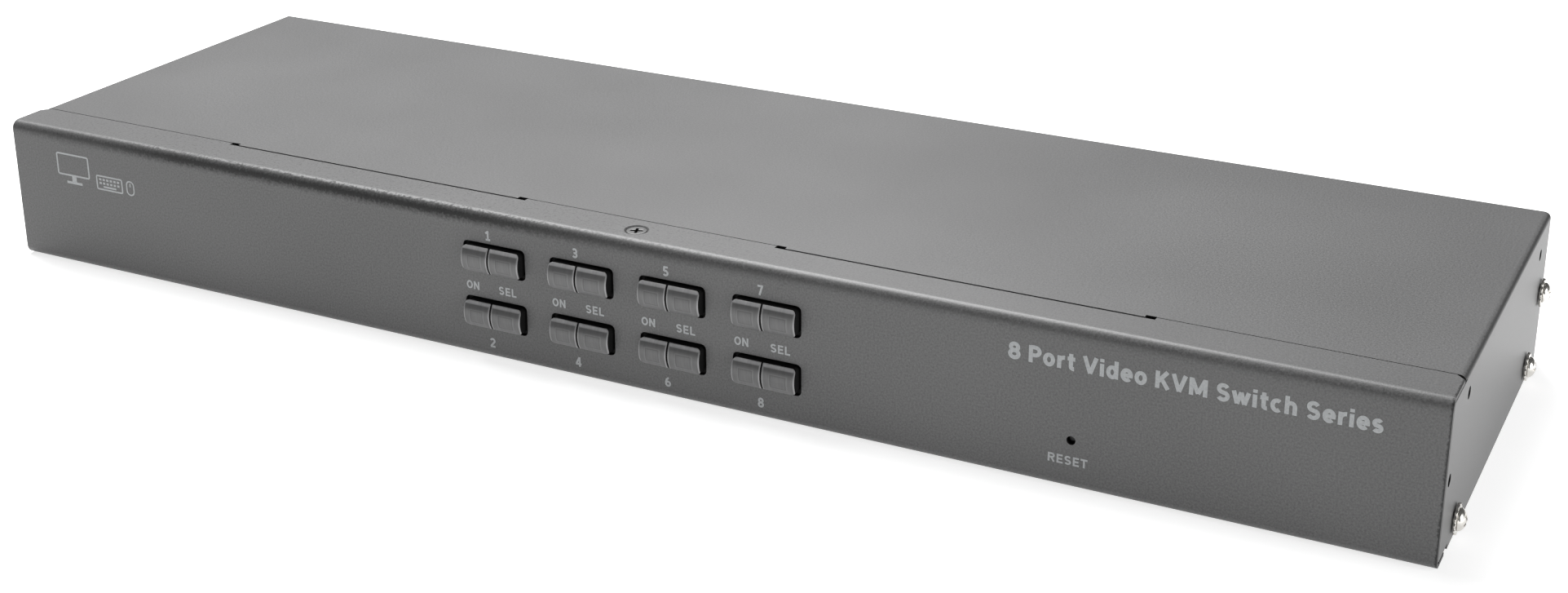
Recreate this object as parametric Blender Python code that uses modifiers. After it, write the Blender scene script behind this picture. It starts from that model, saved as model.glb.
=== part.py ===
"""Rack-width KVM switch: folded sheet case, eight sprung port buttons, two boards and rear sockets.

Every dimension below is in millimetres and is turned to metres as a mesh is made.
+X is right, +Y is back and +Z is up; the origin is the centre of the case's bottom face.
"""

import math

import bmesh
import bpy
from mathutils import Matrix, Vector

MM = 0.001

# Case
CASE_W = 438.0
CASE_D = 132.0
CASE_H = 44.0
SHEET = 1.0
GAP = 0.3
FRONT = -CASE_D / 2
BACK = CASE_D / 2
SIDE = CASE_W / 2
INNER_X = SIDE - SHEET - GAP
BEND_R = 2.6
COVER_BEND_R = 1.8
BEND_STEPS = 5

# Top flange of the front panel, with the cover's tongues below it
FLANGE_D = 14.5
FLANGE_CUTBACK = 1.4
FLANGE_CHAMFER = 2.8
TONGUE_SPANS = ((-141.3, -41.6), (42.6, 141.7))
TONGUE_REACH = 6.0
NOTCH_W = 2.8
NOTCH_D = 0.2
TONGUE_GAP = 0.75
FULL_BASE_D = 8.5
WALL_NOTCH_D = 12.2
WALL_NOTCH_H = 1.5

# Push buttons
OPENING_W = 20.3
OPENING_H = 9.1
CAP_W = 18.6
CAP_H = 7.6
CAP_EDGE = 1.6
CAP_CROWN = 1.2
COLUMN_X = (-40.95, -12.57, 15.81, 44.19)
ROW_Z = (30.3, 13.7)
SPLIT_X = -0.6
SPLIT_W = 0.5
STOP_W = 21.9
STOP_H = 10.8
STEM_R = 1.6
STEM_END = 4.6

# Reset
RESET_X = 128.9
RESET_Z = 13.5
RESET_R = 1.2

# Side wall: screws and empty holes as (distance back from the front face, height)
SIDE_SCREWS = ((127.0, 22.2), (114.0, 5.1), (18.6, 5.1))
SIDE_HOLES = ((119.2, 36.0), (20.3, 37.4), (5.0, 21.6))
SIDE_HOLE_R = 1.65
SCREW_HOLE_R = 1.8
SHANK_R = 1.5
FLANGE_SCREW_X = 0.6
FLANGE_SCREW_D = 7.8
COUNTERSINK_R = 3.1

# Boards
FRONT_BOARD_Y = FRONT + 8.0
BOARD_T = 1.6
FRONT_BOARD_X = (-66.0, 140.0)
FRONT_BOARD_Z = (4.0, 38.0)
MAIN_BOARD_Z = 7.0
MAIN_BOARD_Y = (-11.0, 62.0)
MAIN_BOARD_X = 210.0
SWITCH_SIZE = 6.0
SWITCH_DEPTH = 3.5

# Rear sockets, standing on the main board; each port pairs a video socket with a square data socket
SOCKET_PROUD = 0.5
TONGUE_BACK = 4.1
PORT_X = tuple(165.0 - 39.0 * i for i in range(8))
PORT_VIDEO_X = 8.0
PORT_DATA_X = -8.5
CONSOLE_VIDEO_X = -146.0
CONSOLE_DATA_X = -170.0
POWER_X = 196.0
VIDEO_W = 15.0
VIDEO_H = 6.4
VIDEO_DEPTH = 11.5
DATA_W = 12.0
DATA_H = 10.8
DATA_DEPTH = 15.5
TWIN_W = 14.4
TWIN_H = 15.6
TWIN_DEPTH = 17.0
TWIN_PITCH = 7.6
POWER_Z = 16.0

AXIS_TURN = {
    "X": Matrix.Rotation(math.radians(90), 4, "Y"),
    "-X": Matrix.Rotation(math.radians(-90), 4, "Y"),
    "Y": Matrix.Rotation(math.radians(-90), 4, "X"),
    "Z": Matrix.Identity(4),
}

# Maps an outline drawn in two axes, with its thickness along local Z, to the object's axes
PLANE_TURN = {
    "XY": Matrix.Identity(4),
    "XZ": Matrix(((1, 0, 0, 0), (0, 0, 1, 0), (0, 1, 0, 0), (0, 0, 0, 1))),
    "YZ": Matrix(((0, 0, 1, 0), (1, 0, 0, 0), (0, 1, 0, 0), (0, 0, 0, 1))),
}


def clear_scene():
    for obj in list(bpy.data.objects):
        bpy.data.objects.remove(obj, do_unlink=True)


clear_scene()
PARTS = bpy.data.collections.new("kvm_switch")
CUTTERS = bpy.data.collections.new("kvm_switch_cutters")
CUTTERS.hide_render = True
for collection in (PARTS, CUTTERS):
    bpy.context.scene.collection.children.link(collection)


def paint(name, colour, roughness, metallic):
    material = bpy.data.materials.new(name)
    material.use_nodes = True
    shader = material.node_tree.nodes["Principled BSDF"]
    shader.inputs["Base Color"].default_value = (*colour, 1)
    shader.inputs["Roughness"].default_value = roughness
    shader.inputs["Metallic"].default_value = metallic
    return material


POWDER_COAT = paint("powder_coat", (0.15, 0.15, 0.155), 0.6, 0.0)
SMOKED_LENS = paint("smoked_lens", (0.16, 0.165, 0.17), 0.15, 0.0)
NICKEL = paint("nickel", (0.62, 0.61, 0.58), 0.28, 1.0)
CIRCUIT_BOARD = paint("circuit_board", (0.02, 0.13, 0.05), 0.5, 0.0)
BLACK_PLASTIC = paint("black_plastic", (0.02, 0.02, 0.02), 0.45, 0.0)
ALUMINIUM = paint("aluminium", (0.6, 0.6, 0.62), 0.4, 1.0)
RIBBON = paint("ribbon", (0.35, 0.35, 0.36), 0.55, 0.0)


def add_object(name, mesh, material=None):
    """A piece when it has a material, otherwise a cutter or a shape to be joined on."""
    obj = bpy.data.objects.new(name, mesh)
    if material is None:
        CUTTERS.objects.link(obj)
        obj.hide_render = True
        obj.display_type = "WIRE"
    else:
        PARTS.objects.link(obj)
        mesh.materials.append(material)
    return obj


def add_bmesh(name, bm, material=None):
    bmesh.ops.recalc_face_normals(bm, faces=bm.faces)
    mesh = bpy.data.meshes.new(name)
    bm.to_mesh(mesh)
    bm.free()
    return add_object(name, mesh, material)


def box(name, low, high, material=None):
    """Block between two opposite corners."""
    size = [(b - a) * MM for a, b in zip(low, high)]
    middle = Vector([(a + b) / 2 * MM for a, b in zip(low, high)])
    bm = bmesh.new()
    bmesh.ops.create_cube(bm, size=1, matrix=Matrix.Translation(middle) @ Matrix.Diagonal((*size, 1)))
    return add_bmesh(name, bm, material)


def cylinder(name, start, length, radius, axis, material=None, end_radius=None, segments=20):
    """Round or, with few segments, many-sided rod running length along axis from the middle of its first end."""
    bm = bmesh.new()
    along = AXIS_TURN[axis] @ Matrix.Translation((0, 0, length / 2 * MM))
    bmesh.ops.create_cone(
        bm,
        cap_ends=True,
        segments=segments,
        radius1=radius * MM,
        radius2=(radius if end_radius is None else end_radius) * MM,
        depth=length * MM,
        matrix=Matrix.Translation(Vector(start) * MM) @ along,
    )
    return add_bmesh(name, bm, material)


def plate(name, outline, plane, span, material=None):
    """Flat outline in the named plane, filled as a 2D curve and given thickness over span on the third axis."""
    curve = bpy.data.curves.new(name, "CURVE")
    curve.dimensions = "2D"
    curve.fill_mode = "BOTH"
    curve.extrude = (span[1] - span[0]) / 2 * MM
    spline = curve.splines.new("POLY")
    spline.points.add(len(outline) - 1)
    for point, (a, b) in zip(spline.points, outline):
        point.co = (a * MM, b * MM, 0, 1)
    spline.use_cyclic_u = True
    holder = bpy.data.objects.new(name, curve)
    mesh = bpy.data.meshes.new_from_object(holder)
    bpy.data.objects.remove(holder)
    bm = bmesh.new()
    bm.from_mesh(mesh)
    bpy.data.meshes.remove(mesh)
    bmesh.ops.remove_doubles(bm, verts=bm.verts, dist=1e-6)
    bm.transform(PLANE_TURN[plane] @ Matrix.Translation((0, 0, sum(span) / 2 * MM)))
    return add_bmesh(name, bm, material)


def turned(name, profile, middle, axis, material=None, steps=20):
    """Shape of revolution from (radius, height) pairs that run down its outer side."""
    mesh = bpy.data.meshes.new(name)
    points = [(radius * MM, 0, height * MM) for radius, height in profile]
    mesh.from_pydata(points, [(i, i + 1) for i in range(len(points) - 1)], [])
    obj = add_object(name, mesh, material)
    obj.matrix_world = Matrix.Translation(Vector(middle) * MM) @ AXIS_TURN[axis]
    screw = obj.modifiers.new("Turn", "SCREW")
    screw.steps = steps
    screw.render_steps = steps
    screw.use_merge_vertices = True
    screw.merge_threshold = 1e-5
    obj.modifiers.new("Close", "WELD").merge_threshold = 1e-6
    return obj


def folded_sheet(name, line, plane, span, material):
    """Open folded line drawn across span and thickened to its inner side."""
    bm = bmesh.new()
    rows = [[bm.verts.new((a * MM, b * MM, s * MM)) for s in span] for a, b in line]
    for first, second in zip(rows, rows[1:]):
        bm.faces.new((first[0], second[0], second[1], first[1]))
    bm.transform(PLANE_TURN[plane])
    mesh = bpy.data.meshes.new(name)
    bm.to_mesh(mesh)
    bm.free()
    obj = add_object(name, mesh, material)
    solidify = obj.modifiers.new("Sheet", "SOLIDIFY")
    solidify.thickness = SHEET * MM
    solidify.offset = -1
    solidify.use_even_offset = True
    return obj


def boolean(target, operation, *others):
    for other in others:
        modifier = target.modifiers.new(other.name, "BOOLEAN")
        modifier.operation = operation
        modifier.solver = "EXACT"
        modifier.object = other
    return target


def cut(target, *cutters):
    return boolean(target, "DIFFERENCE", *cutters)


def join(target, *shapes):
    return boolean(target, "UNION", *shapes)


def gather(name, shapes):
    """Several separate cutters made into one, so that one Boolean takes them all."""
    bm = bmesh.new()
    for shape in shapes:
        bm.from_mesh(shape.data)
        bpy.data.objects.remove(shape)
    return add_bmesh(name, bm)


def finish(obj):
    """Settles a small piece's modifiers into its mesh and shades its round faces smooth."""
    graph = bpy.context.evaluated_depsgraph_get()
    mesh = bpy.data.meshes.new_from_object(obj.evaluated_get(graph))
    obj.modifiers.clear()
    obj.data = mesh
    mesh.shade_smooth()
    mesh.set_sharp_from_angle(angle=math.radians(35))
    return obj


def copy_to(obj, name, location):
    """Another of the same piece, with its own mesh, moved to a place in millimetres."""
    twin = obj.copy()
    twin.data = obj.data.copy()
    twin.name = name
    twin.data.name = name
    twin.location = Vector(location) * MM
    PARTS.objects.link(twin)
    return twin


def arc(middle, radius, start, end, steps=BEND_STEPS):
    angles = [math.radians(start + (end - start) * i / steps) for i in range(steps + 1)]
    return [(middle[0] + radius * math.cos(a), middle[1] + radius * math.sin(a)) for a in angles]


def rounded(corners, radius, steps=3):
    """Closed convex outline with every corner turned to an arc."""
    outline = []
    for i, corner in enumerate(corners):
        here = Vector(corner)
        before = (Vector(corners[i - 1]) - here).normalized()
        after = (Vector(corners[(i + 1) % len(corners)]) - here).normalized()
        half = before.angle(after) / 2
        middle = here + (before + after).normalized() * radius / math.sin(half)
        first = here + before * radius / math.tan(half) - middle
        last = here + after * radius / math.tan(half) - middle
        sweep = first.angle_signed(last)
        for step in range(steps + 1):
            turn = Matrix.Rotation(-sweep * step / steps, 2)
            outline.append(tuple(middle + turn @ first))
    return outline


def rectangle(width, height, middle=(0, 0)):
    x, y = middle
    w, h = width / 2, height / 2
    return [(x - w, y - h), (x + w, y - h), (x + w, y + h), (x - w, y + h)]


def side_faces(depth, height, name):
    """Round cutters through both side walls at one distance back from the front face."""
    radius = SCREW_HOLE_R if (depth, height) in SIDE_SCREWS else SIDE_HOLE_R
    y = FRONT + depth
    return [
        cylinder(f"{name}_right", (SIDE - 4, y, height), 6, radius, "X", segments=12),
        cylinder(f"{name}_left", (4 - SIDE, y, height), 6, radius, "-X", segments=12),
    ]


def make_base_tray():
    """Bottom, front panel and top flange folded from one sheet, with side flanges inside the cover's walls."""
    line = [(FRONT + FLANGE_D, CASE_H)]
    line += arc((FRONT + BEND_R, CASE_H - BEND_R), BEND_R, 90, 180)
    line += arc((FRONT + BEND_R, BEND_R), BEND_R, 180, 270)
    line += [(BACK, 0)]
    tray = folded_sheet("base_tray", line, "YZ", (-SIDE, SIDE), POWDER_COAT)

    trims = []
    for sign in (-1, 1):
        edge = sorted((sign * INNER_X, sign * (SIDE + 2)))
        trims.append(box("edge_trim", (edge[0], FRONT + FULL_BASE_D, -2), (edge[1], BACK + 2, 4)))
        corner = FRONT + FLANGE_D
        triangle = [
            (sign * (SIDE - FLANGE_CHAMFER), corner + 0.5),
            (sign * (SIDE + 0.5), corner + 0.5),
            (sign * (SIDE + 0.5), corner - FLANGE_CHAMFER),
        ]
        trims.append(plate("corner_trim", triangle, "XY", (CASE_H - 3, CASE_H + 1)))
    cutback = FRONT + FLANGE_D - FLANGE_CUTBACK
    for low, high in TONGUE_SPANS:
        trims.append(
            box("tongue_trim", (low - NOTCH_W, cutback, CASE_H - 3), (high + NOTCH_W, cutback + 4, CASE_H + 1))
        )
    cut(tray, gather("tray_trims", trims))

    for sign, side in ((-1, "left"), (1, "right")):
        x = sorted((sign * INNER_X, sign * (INNER_X - SHEET)))
        join(tray, box(f"tray_flange_{side}", (x[0], FRONT + 13, 0), (x[1], BACK - 5, 8.5)))

    openings = []
    for x in COLUMN_X:
        for z in ROW_Z:
            outline = rounded(rectangle(OPENING_W, OPENING_H, (x, z)), 1.4)
            openings.append(plate("button_opening", outline, "XZ", (FRONT - 1, FRONT + 2)))
    openings.append(cylinder("reset_hole", (RESET_X, FRONT - 1, RESET_Z), 3, RESET_R, "Y", segments=16))
    cut(tray, gather("panel_openings", openings))

    slope = (COUNTERSINK_R + 0.35, COUNTERSINK_R + 0.35 - SHEET)
    middle = (FLANGE_SCREW_X, FRONT + FLANGE_SCREW_D, CASE_H - SHEET - 0.5)
    cut(
        tray,
        cylinder("countersink", middle, SHEET + 1, slope[1] - 0.5, "Z", end_radius=slope[0] + 0.5, segments=24),
    )
    holes = [hole for place in SIDE_SCREWS[1:] for hole in side_faces(*place, "tray_screw_hole")]
    cut(tray, gather("tray_screw_holes", holes))
    return tray


def make_top_cover():
    """Lid and side walls folded from one sheet, cut back at the front to pass under the flange."""
    start = FRONT + FLANGE_D + GAP
    line = [(-SIDE, 0)]
    line += arc((-SIDE + COVER_BEND_R, CASE_H - COVER_BEND_R), COVER_BEND_R, 180, 90)
    line += arc((SIDE - COVER_BEND_R, CASE_H - COVER_BEND_R), COVER_BEND_R, 90, 0)
    line += [(SIDE, 0)]
    cover = folded_sheet("top_cover", line, "XZ", (start, BACK), POWDER_COAT)

    inner = SHEET + GAP
    radius = BEND_R - inner
    foot = FRONT + WALL_NOTCH_D
    outline = [(start + 1, 0), (foot, 0), (foot, WALL_NOTCH_H)]
    outline += arc((FRONT + BEND_R, WALL_NOTCH_H + radius), radius, 270, 180)
    outline += arc((FRONT + BEND_R, CASE_H - BEND_R), radius, 180, 90)
    outline += [(start + 1, CASE_H - inner)]
    for sign, side in ((-1, "left"), (1, "right")):
        x = sorted((sign * SIDE, sign * (SIDE - SHEET)))
        join(cover, plate(f"wall_front_{side}", outline, "YZ", x))

    for number, (low, high) in enumerate(TONGUE_SPANS):
        step = start - GAP - FLANGE_CUTBACK + TONGUE_GAP
        top = CASE_H - inner
        join(
            cover,
            box(f"tongue_step_{number}", (low, step, top - SHEET), (high, start + 1, CASE_H)),
            box(f"tongue_{number}", (low, FRONT + TONGUE_REACH, top - SHEET), (high, step + 0.5, top)),
        )

    cuts = []
    for low, high in TONGUE_SPANS:
        for x in (low - NOTCH_W, high):
            cuts.append(box("notch", (x, start - 1, CASE_H - 4), (x + NOTCH_W, start + NOTCH_D, CASE_H + 1)))
    for place in SIDE_SCREWS + SIDE_HOLES:
        cuts += side_faces(*place, "wall_hole")
    return cut(cover, gather("cover_cuts", cuts))


def socket_z(height):
    """Height of the middle of a socket of this height standing on the main board."""
    return MAIN_BOARD_Z + BOARD_T + GAP + height / 2


def video_outline(inset=0.0, middle=(0, 0)):
    """Wide socket whose lower corners slope in."""
    w, h, slope = VIDEO_W / 2 - inset, VIDEO_H / 2 - inset, 2.0
    points = [(-w + slope, -h), (w - slope, -h), (w, -h + slope + 0.5), (w, h), (-w, h), (-w, -h + slope + 0.5)]
    return [(x + middle[0], z + middle[1]) for x, z in points]


def make_rear_panel():
    """Plate behind the boards, with a foot folded forward along its bottom edge and a tab at each end."""
    low = SHEET + GAP
    line = [(BACK - 11, low)]
    line += arc((BACK - COVER_BEND_R, low + COVER_BEND_R), COVER_BEND_R, 270, 360)
    line += [(BACK, CASE_H - low)]
    panel = folded_sheet("rear_panel", line, "YZ", (-INNER_X, INNER_X), POWDER_COAT)

    trims = []
    for sign in (-1, 1):
        x = sorted((sign * (INNER_X - 3), sign * (INNER_X + 1)))
        trims.append(box("foot_trim", (x[0], BACK - 13, 0), (x[1], BACK - 2.3, 6)))
    cut(panel, gather("rear_foot_trims", trims))
    for sign, side in ((-1, "left"), (1, "right")):
        x = sorted((sign * INNER_X, sign * (INNER_X - SHEET)))
        join(panel, box(f"rear_tab_{side}", (x[0], BACK - 14, 10), (x[1], BACK - 0.5, 32)))

    cuts = []
    span = (BACK - 2, BACK + 1)
    for x in [port + PORT_VIDEO_X for port in PORT_X] + [CONSOLE_VIDEO_X]:
        cuts.append(plate("video_opening", video_outline(-GAP, (x, socket_z(VIDEO_H))), "XZ", span))
    for x in [port + PORT_DATA_X for port in PORT_X]:
        outline = rectangle(DATA_W + 2 * GAP, DATA_H + 2 * GAP, (x, socket_z(DATA_H)))
        cuts.append(plate("data_opening", outline, "XZ", span))
    outline = rectangle(TWIN_W + 2 * GAP, TWIN_H + 2 * GAP, (CONSOLE_DATA_X, socket_z(TWIN_H)))
    cuts.append(plate("twin_opening", outline, "XZ", span))
    cuts.append(cylinder("power_opening", (POWER_X, BACK - 2, POWER_Z), 3, 4.3, "Y", segments=20))
    cuts += side_faces(*SIDE_SCREWS[0], "tab_screw_hole")
    return cut(panel, gather("rear_openings", cuts))


def cross_recess(name, arm, width, low, high):
    """Four-armed driver recess whose arms narrow a little towards their ends."""
    reach, root, tip = arm / 2, width / 2, width * 0.42
    corner = [(root, root), (tip, reach), (-tip, reach)]
    outline = []
    for quarter in range(4):
        turn = Matrix.Rotation(math.radians(90 * quarter), 2)
        outline += [tuple(turn @ Vector(point)) for point in corner]
    return plate(name, outline, "XY", (low, high))


def make_screw_lug():
    """Strap below the cover's front edge that takes the flange screw."""
    top = CASE_H - SHEET - GAP
    y = FRONT + FLANGE_SCREW_D
    lug = box("screw_lug", (FLANGE_SCREW_X - 8, y - 4.3, top - SHEET), (FLANGE_SCREW_X + 8, y + 14, top), POWDER_COAT)
    return cut(lug, cylinder("lug_hole", (FLANGE_SCREW_X, y, top - 2), 3, 2.1, "Z", segments=16))


def make_flange_screw():
    profile = [(0, -0.1), (COUNTERSINK_R, -0.1), (COUNTERSINK_R, -0.25), (SHANK_R, -1.85), (SHANK_R, -6), (0, -6)]
    screw = turned("flange_screw", profile, (0, 0, 0), "Z", POWDER_COAT)
    cut(screw, cross_recess("flange_screw_recess", 3.4, 0.8, -1.2, 1))
    finish(screw)
    screw.location = Vector((FLANGE_SCREW_X, FRONT + FLANGE_SCREW_D, CASE_H)) * MM
    return screw


def make_side_screws():
    """Pan-head screws with captive washers, three in each side wall."""
    profile = [(0, 2.65), (1.3, 2.58), (2.3, 2.25), (2.9, 1.65), (3.05, 1.0), (3.55, 1.0), (3.55, GAP)]
    profile += [(SHANK_R, GAP), (SHANK_R, -5.5), (0, -5.5)]
    screw = turned("side_screw_right_1", profile, (0, 0, 0), "Z", NICKEL, steps=16)
    cut(screw, cross_recess("side_screw_recess", 3.6, 0.9, 1.2, 4))
    finish(screw)
    for sign, side in ((1, "right"), (-1, "left")):
        for number, (depth, height) in enumerate(SIDE_SCREWS, start=1):
            name = f"side_screw_{side}_{number}"
            twin = screw if name == screw.name else copy_to(screw, name, (0, 0, 0))
            place = Matrix.Translation(Vector((sign * SIDE, FRONT + depth, height)) * MM)
            twin.matrix_world = place @ AXIS_TURN["X" if sign > 0 else "-X"]


def make_port_buttons():
    """Caps with a crowned face split into two windows, a stop behind the panel and a stem."""
    face_r = ((CAP_H / 2) ** 2 + CAP_CROWN**2) / (2 * CAP_CROWN)
    crown_y = face_r - CAP_EDGE - CAP_CROWN
    spread = math.degrees(math.asin((CAP_H / 2 + 0.4) / face_r))
    crowned = [(3, -CAP_H / 2 - 0.4)]
    crowned += [(crown_y + y, z) for y, z in arc((0, 0), face_r, 180 + spread, 180 - spread, 8)]
    crowned += [(3, CAP_H / 2 + 0.4)]
    stop_y = SHEET + GAP

    button = plate("port_button_1", rounded(rectangle(CAP_W, CAP_H), 1.1), "XZ", (-4, stop_y + 0.5), SMOKED_LENS)
    boolean(button, "INTERSECT", plate("cap_crown", crowned, "YZ", (-CAP_W, CAP_W)))
    join(
        button,
        box("cap_stop", (-STOP_W / 2, stop_y, -STOP_H / 2), (STOP_W / 2, stop_y + 1, STOP_H / 2)),
        cylinder("cap_stem", (0, stop_y + 0.5, 0), STEM_END - stop_y - 0.5, STEM_R, "Y", segments=16),
    )
    split = (SPLIT_X - SPLIT_W / 2, SPLIT_X + SPLIT_W / 2)
    cut(button, box("cap_split", (split[0], -5, -CAP_H), (split[1], 0.5 - CAP_EDGE, CAP_H)))
    finish(button)
    for number in range(8):
        place = (COLUMN_X[number // 2], FRONT, ROW_Z[number % 2])
        if number == 0:
            button.location = Vector(place) * MM
        else:
            copy_to(button, f"port_button_{number + 1}", place)


def make_switches():
    """Tact switches on the front board, each with a round well that its stem presses into."""
    half = SWITCH_SIZE / 2
    front = FRONT_BOARD_Y - GAP - SWITCH_DEPTH - FRONT
    low, high = (-half, front, -half), (half, front + SWITCH_DEPTH, half)
    switch = box("tact_switch_1", low, high, BLACK_PLASTIC)
    cut(switch, cylinder("switch_well", (0, front - 1, 0), 3.2, STEM_R + 0.4, "Y", segments=16))
    finish(switch)
    for number in range(1, 8):
        place = (COLUMN_X[number // 2], FRONT, ROW_Z[number % 2])
        copy_to(switch, f"tact_switch_{number + 1}", place)
    copy_to(switch, "reset_switch", (RESET_X, FRONT, RESET_Z))
    switch.location = Vector((COLUMN_X[0], FRONT, ROW_Z[0])) * MM

    plunger = cylinder("reset_plunger", (0, SHEET + 0.6, 0), STEM_END - SHEET - 0.6, 1.0, "Y", BLACK_PLASTIC, segments=16)
    plunger.location = Vector((RESET_X, FRONT, RESET_Z)) * MM


def make_boards():
    low = (FRONT_BOARD_X[0], FRONT_BOARD_Y, FRONT_BOARD_Z[0])
    high = (FRONT_BOARD_X[1], FRONT_BOARD_Y + BOARD_T, FRONT_BOARD_Z[1])
    box("front_board", low, high, CIRCUIT_BOARD)
    low = (-MAIN_BOARD_X, MAIN_BOARD_Y[0], MAIN_BOARD_Z)
    high = (MAIN_BOARD_X, MAIN_BOARD_Y[1], MAIN_BOARD_Z + BOARD_T)
    box("main_board", low, high, CIRCUIT_BOARD)

    start = FRONT + SHEET + GAP
    post = cylinder("front_standoff_1", (0, 0, 0), FRONT_BOARD_Y - GAP - start, 2.6, "Y", NICKEL, segments=6)
    post.location = Vector((-61, start, 22)) * MM
    copy_to(post, "front_standoff_2", (64, start, 22))
    copy_to(post, "front_standoff_3", (134, start, 22))

    start = SHEET + GAP
    post = cylinder("main_standoff_1", (0, 0, 0), MAIN_BOARD_Z - GAP - start, 2.6, "Z", NICKEL, segments=6)
    places = [(x, y) for x in (-200, 200) for y in (-4, 47)]
    post.location = Vector((*places[0], start)) * MM
    for number, (x, y) in enumerate(places[1:], start=2):
        copy_to(post, f"main_standoff_{number}", (x, y, start))


def make_heatsink():
    base = MAIN_BOARD_Z + BOARD_T + GAP
    sink = box("heatsink", (-60, 8, base), (-20, 44, base + 3), ALUMINIUM)
    fins = []
    for number in range(8):
        x = -60 + number * (40 - 1.2) / 7
        fins.append(box("fin", (x, 8, base + 2), (x + 1.2, 44, base + 14)))
    return join(sink, gather("heatsink_fins", fins))


def make_ribbon_cable():
    """Flat cable from the back of the front board down to the main board, with a plug at each end."""
    start = FRONT_BOARD_Y + BOARD_T + GAP
    floor = MAIN_BOARD_Z + BOARD_T + GAP
    low, high = 66, 94
    line = [(start + 5, 20), (start + 12, 20), (start + 18, 22), (-16, 26), (-9, 26), (-5.5, 23), (-5, 16)]
    ribbon = folded_sheet("ribbon_cable", line, "YZ", (low, high), RIBBON)
    join(
        ribbon,
        box("ribbon_plug_front", (low - 1, start, 16), (high + 1, start + 6, 22)),
        box("ribbon_plug_rear", (low - 1, -8, floor), (high + 1, -2, 17)),
    )
    return ribbon


def make_video_socket(name):
    """Wide socket with sloped lower corners and a contact tongue set back in its mouth."""
    socket = plate(name, video_outline(), "XZ", (-VIDEO_DEPTH, SOCKET_PROUD), NICKEL)
    cut(socket, plate(f"{name}_mouth", video_outline(0.65), "XZ", (-8, 2)))
    join(socket, box(f"{name}_tongue", (-5.6, -8.5, -0.3), (5.6, -TONGUE_BACK, 1.1)))
    return finish(socket)


def make_data_socket(name):
    """Almost square socket with sloped upper corners and a thick tongue set back in its mouth."""
    low, high = (-DATA_W / 2, -DATA_DEPTH, -DATA_H / 2), (DATA_W / 2, SOCKET_PROUD, DATA_H / 2)
    socket = box(name, low, high, NICKEL)
    mouth = [(-4.25, -3.9), (4.25, -3.9), (4.25, 2.1), (2.6, 3.9), (-2.6, 3.9), (-4.25, 2.1)]
    cut(socket, plate(f"{name}_mouth", mouth, "XZ", (-9.5, 2)))
    join(socket, box(f"{name}_tongue", (-2.8, -10, -1.6), (2.8, -TONGUE_BACK, 1.6)))
    return finish(socket)


def make_twin_socket():
    """Two flat data sockets, one above the other, for a keyboard and a mouse."""
    socket = box(
        "console_data_socket",
        (-TWIN_W / 2, -TWIN_DEPTH, -TWIN_H / 2),
        (TWIN_W / 2, SOCKET_PROUD, TWIN_H / 2),
        NICKEL,
    )
    for number, z in enumerate((-TWIN_PITCH / 2, TWIN_PITCH / 2)):
        cut(socket, box(f"twin_mouth_{number}", (-6.3, -11, z - 2.6), (6.3, 2, z + 2.6)))
        join(socket, box(f"twin_tongue_{number}", (-5.5, -11.5, z + 0.2), (5.5, -TONGUE_BACK, z + 2.1)))
    finish(socket)
    socket.location = Vector((CONSOLE_DATA_X, BACK, socket_z(TWIN_H))) * MM
    return socket


def make_power_inlet():
    """Barrel inlet with its centre pin."""
    floor = MAIN_BOARD_Z + BOARD_T + GAP
    inside = BACK - SHEET - GAP
    inlet = box("power_inlet", (POWER_X - 5, BACK - 13, floor), (POWER_X + 5, inside, POWER_Z + 5.5), BLACK_PLASTIC)
    join(inlet, cylinder("inlet_nose", (POWER_X, BACK - 2, POWER_Z), 2 + SOCKET_PROUD, 4.0, "Y"))
    cut(inlet, cylinder("inlet_bore", (POWER_X, BACK - 10, POWER_Z), 12, 3.1, "Y"))
    join(inlet, cylinder("inlet_pin", (POWER_X, BACK - 11, POWER_Z), 11 - TONGUE_BACK, 1.0, "Y", segments=10))
    return finish(inlet)


def make_rear_sockets():
    video = make_video_socket("port_video_socket_1")
    data = make_data_socket("port_data_socket_1")
    for number, x in enumerate(PORT_X[1:], start=2):
        copy_to(video, f"port_video_socket_{number}", (x + PORT_VIDEO_X, BACK, socket_z(VIDEO_H)))
        copy_to(data, f"port_data_socket_{number}", (x + PORT_DATA_X, BACK, socket_z(DATA_H)))
    copy_to(video, "console_video_socket", (CONSOLE_VIDEO_X, BACK, socket_z(VIDEO_H)))
    video.location = Vector((PORT_X[0] + PORT_VIDEO_X, BACK, socket_z(VIDEO_H))) * MM
    data.location = Vector((PORT_X[0] + PORT_DATA_X, BACK, socket_z(DATA_H))) * MM
    make_twin_socket()
    make_power_inlet()


def main():
    make_base_tray()
    make_top_cover()
    make_rear_panel()
    make_screw_lug()
    make_flange_screw()
    make_side_screws()
    make_port_buttons()
    make_switches()
    make_boards()
    make_heatsink()
    make_ribbon_cable()
    make_rear_sockets()


main()
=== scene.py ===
import math

import bmesh
import bpy
from mathutils import Matrix, Vector


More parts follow.
